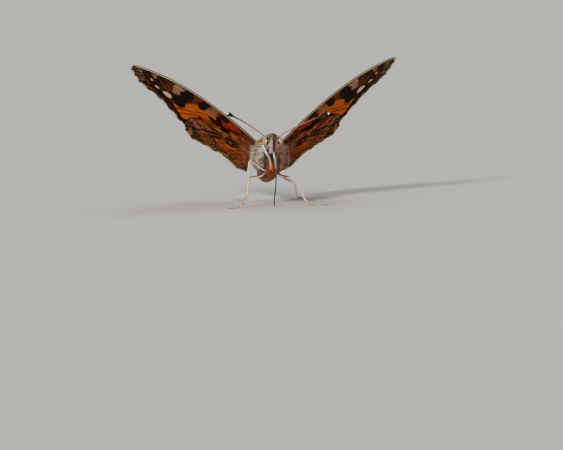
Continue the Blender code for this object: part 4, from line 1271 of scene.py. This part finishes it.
ANTENNA_ROOT = np.array((0.55, -4.1, 1.3))
ANTENNA_TIPS = {"left": (9.5, -15.0, 6.25), "right": (-8.75, -15.0, 6.9)}
ANTENNA_RADII = ((0.0, 0.15), (0.06, 0.12), (0.3, 0.11), (0.6, 0.115), (0.82, 0.15), (0.88, 0.26),
                 (0.93, 0.36), (0.965, 0.36), (0.988, 0.25), (1.0, 0.10))
ANTENNA_PAINT = tube_paint(
    "antenna_rings", ((0.0, colour(196, 186, 166)), (0.3, colour(150, 130, 104)),
                      (0.78, colour(104, 72, 48)), (0.83, colour(22, 15, 12)),
                      (0.988, colour(20, 14, 11)), (0.992, colour(248, 232, 186)),
                      (1.0, colour(252, 242, 206))), 0.75, 42, 0.0)
for side, sign in (("left", 1), ("right", -1)):
    root, tip = ANTENNA_ROOT * (sign, 1, 1), np.array(ANTENNA_TIPS[side])
    rows = [(*(root + (tip - root) * share + (0, 0, 0.35 * math.sin(math.pi * share))), radius)
            for share, radius in ANTENNA_RADII]
    rings, share, _ = limb_rings(rows, 12, 16)
    points, triangles = closed_skin(rings)
    antenna = new_piece("antenna_" + side, points, triangles, ANTENNA_PAINT,
                        ("antenna_" + side,))
    set_facts(antenna, along=limb_facts(share, 16))

# Legs: cream scales over brown skin, darker above, with fine spines and a pair of claws. The
# front pair is small, folded up under the head and looks like a soft brush.
FORELEGS = {
    "right": ((-1.6, -2.4, -1.0, 0.20), (-1.58, -3.5, 0.1, 0.22), (-1.0, -4.5, -1.2, 0.23),
              (-0.62, -4.95, -1.9, 0.16), (-0.40, -5.0, -2.7, 0.17), (-0.34, -5.0, -3.5, 0.16),
              (-0.36, -4.95, -4.1, 0.1)),
    "left": ((1.6, -2.4, -1.0, 0.20), (1.6, -3.5, -0.1, 0.19), (1.08, -4.5, -1.2, 0.19),
             (0.76, -4.95, -2.1, 0.15), (0.64, -5.0, -2.9, 0.13), (0.66, -4.95, -3.5, 0.09)),
}
MIDLEGS = {
    "right": ((-0.6, -2.2, -3.9, 0.26), (-1.4, -3.2, -4.3, 0.23), (-3.93, -4.8, -2.51, 0.20),
              (-4.35, -4.7, -4.6, 0.125), (-4.56, -4.6, -7.11, 0.17), (-4.94, -5.2, -8.98, 0.20),
              (-6.45, -6.0, -10.7, 0.125), (-8.1, -6.85, -10.76, 0.09)),
    "left": ((0.7, -2.2, -3.9, 0.26), (1.3, -2.9, -5.3, 0.23), (4.05, -4.6, -6.22, 0.20),
             (4.95, -4.8, -8.0, 0.125), (5.8, -5.0, -9.94, 0.17), (7.3, -5.7, -10.7, 0.125),
             (9.2, -6.75, -10.76, 0.09)),
}
HINDLEGS = {
    "right": ((-0.8, -0.9, -4.2, 0.26), (-1.7, -0.9, -5.45, 0.23), (-3.9, 1.4, -6.2, 0.20),
              (-4.0, 3.4, -7.6, 0.125), (-3.95, 5.6, -9.3, 0.17), (-4.6, 8.2, -10.7, 0.125),
              (-5.45, 10.7, -10.76, 0.09)),
    "left": ((0.8, -0.7, -4.2, 0.26), (1.9, -0.6, -5.9, 0.23), (4.4, 1.7, -7.4, 0.20),
             (4.9, 3.6, -8.6, 0.125), (5.3, 5.6, -10.0, 0.17), (6.0, 8.1, -10.7, 0.125),
             (6.75, 10.6, -10.76, 0.09)),
}
LEG_PAINT = coat_paint("leg_scales", 0.55, 0.7, 0.15)
CLAW = ((-0.1, 0.02, 0.02, 0.05), (0.14, 0.10, 0.05, 0.045), (0.30, 0.15, 0.0, 0.03),
        (0.36, 0.16, -0.08, 0.012))
CLAW_PAINT = tube_paint("claw_horn", ((0.0, colour(70, 46, 30)), (1.0, colour(26, 17, 13))),
                        0.35, 6, 0.2)


def leg_tint(points, normals, share, brush):
    tint = np.tile(colour(*((255, 250, 242) if brush else (250, 232, 196)))[:3], (len(points), 1))
    # Painted shade on the inner sides, turned to the body, strongest on the forelegs.
    inner = smooth_step(-normals[:, 0] * np.sign(points[:, 0]), 0.1, 0.5)
    tint = tinted(tint, colour(34, 22, 18), inner * (0.9 if brush else 0.3))
    tint = tinted(tint, colour(86, 56, 38), smooth_step(normals[:, 1], -0.5, -0.1) * 0.9)
    if brush:
        tint = tinted(tint, colour(206, 158, 132), smooth_step(share, 0.5, 0.6) * 0.8)
        # Painted shade: the left foreleg is darker and pinker than the right.
        return tinted(tint, colour(150, 96, 76), smooth_step(points[:, 0], 0, 0.5 * MM) * 0.75)
    thigh = 1 - smooth_step(share, 0.26, 0.34)
    tint = tinted(tint, colour(74, 40, 26), thigh * smooth_step(normals[:, 2], -0.35, 0.0))
    tint = tinted(tint, colour(184, 146, 102), smooth_step(share, 0.6, 0.8) * 0.5)
    return tinted(tint, colour(70, 48, 34), (np.abs(share * 14 % 1 - 0.5) < 0.07) * (share > 0.72))


for name, side, rows, count in (
        *(("foreleg_" + side, side, FORELEGS[side], 900) for side in FORELEGS),
        *(("midleg_" + side, side, MIDLEGS[side], 1100) for side in MIDLEGS),
        *(("hindleg_" + side, side, HINDLEGS[side], 1100) for side in HINDLEGS)):
    rings, share, along = limb_rings(rows, 14, 20)
    points, triangles = closed_skin(rings)
    points[:, 2] = np.maximum(points[:, 2], 0.01 * MM)
    normals = skin_normals(points, triangles)
    shares = limb_facts(share, 20)
    brush = name.startswith("foreleg")
    leg = new_piece(name, points, triangles, LEG_PAINT, (name,))
    set_facts(leg, tint=leg_tint(points, normals, shares, brush), tip=np.full(len(points), 0.8),
              tone=np.full(len(points), 0.5))
    for coat, number, length, width, lift in (
            ("_scales", count, 0.34 if brush else 0.2, 0.06 if brush else 0.07,
             0.35 if brush else 0.12),
            ("_spines", 60, 0.34, 0.032, 0.7)):
        off_floor = points[:, 2] > (0.14 if coat == "_scales" else 0.36) * MM
        read = sow(points, triangles,
                   (1.0 * (coat == "_scales") + (shares > 0.3)) * off_floor, number)
        roots, root_normals = read(points), unit(read(normals))
        grow_tufts(name + coat, LEG_PAINT, roots, root_normals,
                   read(limb_facts(along, 20)), length * MM, width * MM, lift,
                   (read(shares), np.arctan2(root_normals[:, 0], root_normals[:, 2]) / 7 + 0.5),
                   leg_tint(roots, root_normals, read(shares), brush), settle=0.1, flat=0.3)
    if not brush:
        foot, heading = np.array(rows[-1][:3]), np.array(rows[-1][:3]) - rows[-2][:3]
        heading = unit(heading * (1, 1, 0))
        aside = np.array((-heading[1], heading[0], 0))
        hooks = []
        for turn in (1, -1):
            hook = [(*(foot + heading * ahead + aside * turn * out + (0, 0, lift)), radius)
                    for ahead, out, lift, radius in CLAW]
            hooks.append(closed_skin(limb_rings(hook, 5, 8)[0]))
        claws = new_piece(name + "_claws", np.concatenate([hook[0] for hook in hooks]),
                          np.concatenate((hooks[0][1], hooks[1][1] + len(hooks[0][0]))),
                          CLAW_PAINT)
        set_facts(claws, along=np.tile(np.linspace(0, 1, len(hooks[0][0])), 2))

# Wing fringe and wing-root hair: a rim of hair-like scales, white between the veins and dark at
# their ends, and soft brown hair over the roots of the wings and along the inner margin.
FRINGE_PAINT = coat_paint("wing_fringe", 0.7, 0.75, 0.1)
WING_HAIR_PAINT = coat_paint("wing_hair", 0.65, 0.55, 0.2)


def wing_frame(x, y, away_x, away_y, side, drop):
    """Places on a wing's middle sheet, its upward normals and the given directions in it."""
    out, back = x * THIRTIETH, y * THIRTIETH
    step = 0.05
    here = wing_place(out, back, 0, side, drop(out, back, side))
    further_out = (x + away_x * step) * THIRTIETH
    further_back = (y + away_y * step) * THIRTIETH
    there = wing_place(further_out, further_back, 0, side, drop(further_out, further_back, side))
    over = wing_place(out, back, MM, side, drop(out, back, side))
    return here, unit(over - here), unit(there - here)


def fringe(name, slot, side, net, drop, count):
    steps = net["column"][:, 0]
    run = np.append(0, np.cumsum(np.hypot(np.diff(net["x"][:, -1]), np.diff(net["y"][:, -1]))))
    column = np.interp((np.arange(count) + rng.random(count)) / count * run[-1], run, steps)
    x, y, x_before, y_before = (np.interp(column, steps, net[key][:, row])
                                for row in (-1, -6) for key in ("x", "y"))
    away = unit(np.stack((x - x_before, y - y_before), -1))
    here, normals, lie = wing_frame(x - away[:, 0] * 0.15, y - away[:, 1] * 0.15, away[:, 0],
                                    away[:, 1], side, drop)
    middle = np.abs(column % 1 - 0.5) + 0.03 * rng.normal(size=count)
    white = (1 - smooth_step(middle, 0.25, 0.31)) * (column > 3 * (slot == "hindwing")) * (column < 9)
    tint = tinted(np.tile(colour(58, 40, 30)[:3], (count, 1)), colour(244, 230, 204), white)
    face = np.where(np.arange(count) % 2, 1.0, -1.0)[:, None]
    piece = grow_tufts(name, FRINGE_PAINT, here + normals * face * 0.04 * MM,
                       normals * face, lie, FRINGE + (0.26 * white - 0.18) * MM, 0.13 * MM, 0.03,
                       (column / 10.5, 0.5 + 0 * column), tint, settle=0.05, flat=0.35)
    return piece


def wing_hair(name, side, net, drop, upward, weight, length, tint_of, count):
    x, y = net["x"].ravel(), net["y"].ravel()
    size = (np.gradient(net["x"], axis=0) * np.gradient(net["y"], axis=1)
            - np.gradient(net["x"], axis=1) * np.gradient(net["y"], axis=0))
    chance = np.abs(size).ravel() * weight(x, y)
    picked = rng.choice(len(x), count, p=chance / chance.sum())
    jitter = 0.06 * rng.normal(size=(2, count))
    x, y = x[picked] + jitter[0], y[picked] + jitter[1]
    lean = 0.25 + 0.5 * smooth_step(y - x, 2, 8)
    here, normals, lie = wing_frame(x, y, np.cos(lean), np.sin(lean), side, drop)
    normals = normals * upward
    return grow_tufts(name, WING_HAIR_PAINT, here + normals * MEMBRANE / 2, normals, lie,
                      length, 0.075 * MM, 0.3, (x / 32 + 0.1, y / 32 + 0.2), tint_of(x, y),
                      gather=0.3, settle=0.1)


def plain_tint(*rgb):
    return lambda x, y: np.tile(colour(*rgb)[:3], (len(x), 1))


for side, sign in (("left", 1), ("right", -1)):
    fringe("forewing_fringe_" + side, "forewing", sign, forewing_net, level_drop, 1100)
    fringe("hindwing_fringe_" + side, "hindwing", sign, hindwing_net, hindwing_drop, 1000)
    wing_hair("forewing_hair_" + side, sign, forewing_net, level_drop, 1,
              lambda x, y: np.clip(1 - x / 7.5, 0, 1) ** 1.2, 1.3 * MM, plain_tint(132, 92, 52),
              1500)
    wing_hair("hindwing_hair_" + side, sign, hindwing_net, hindwing_drop, 1,
              lambda x, y: (np.clip(1 - x / 7.0, 0, 1) ** 1.2
                            + 0.6 * np.clip(1 - np.abs(x - 2) / 2.5, 0, 1)), 1.5 * MM,
              plain_tint(148, 104, 60), 2000)
    wing_hair("hindwing_under_hair_" + side, sign, hindwing_net, hindwing_drop, -1,
              lambda x, y: np.clip(1 - x / 4.5, 0, 1) ** 1.5, 0.9 * MM,
              lambda x, y: tinted(np.tile(colour(138, 72, 44)[:3], (len(x), 1)),
                                  colour(246, 232, 214), smooth_step(1.2 - x, 0, 0.8)), 700)
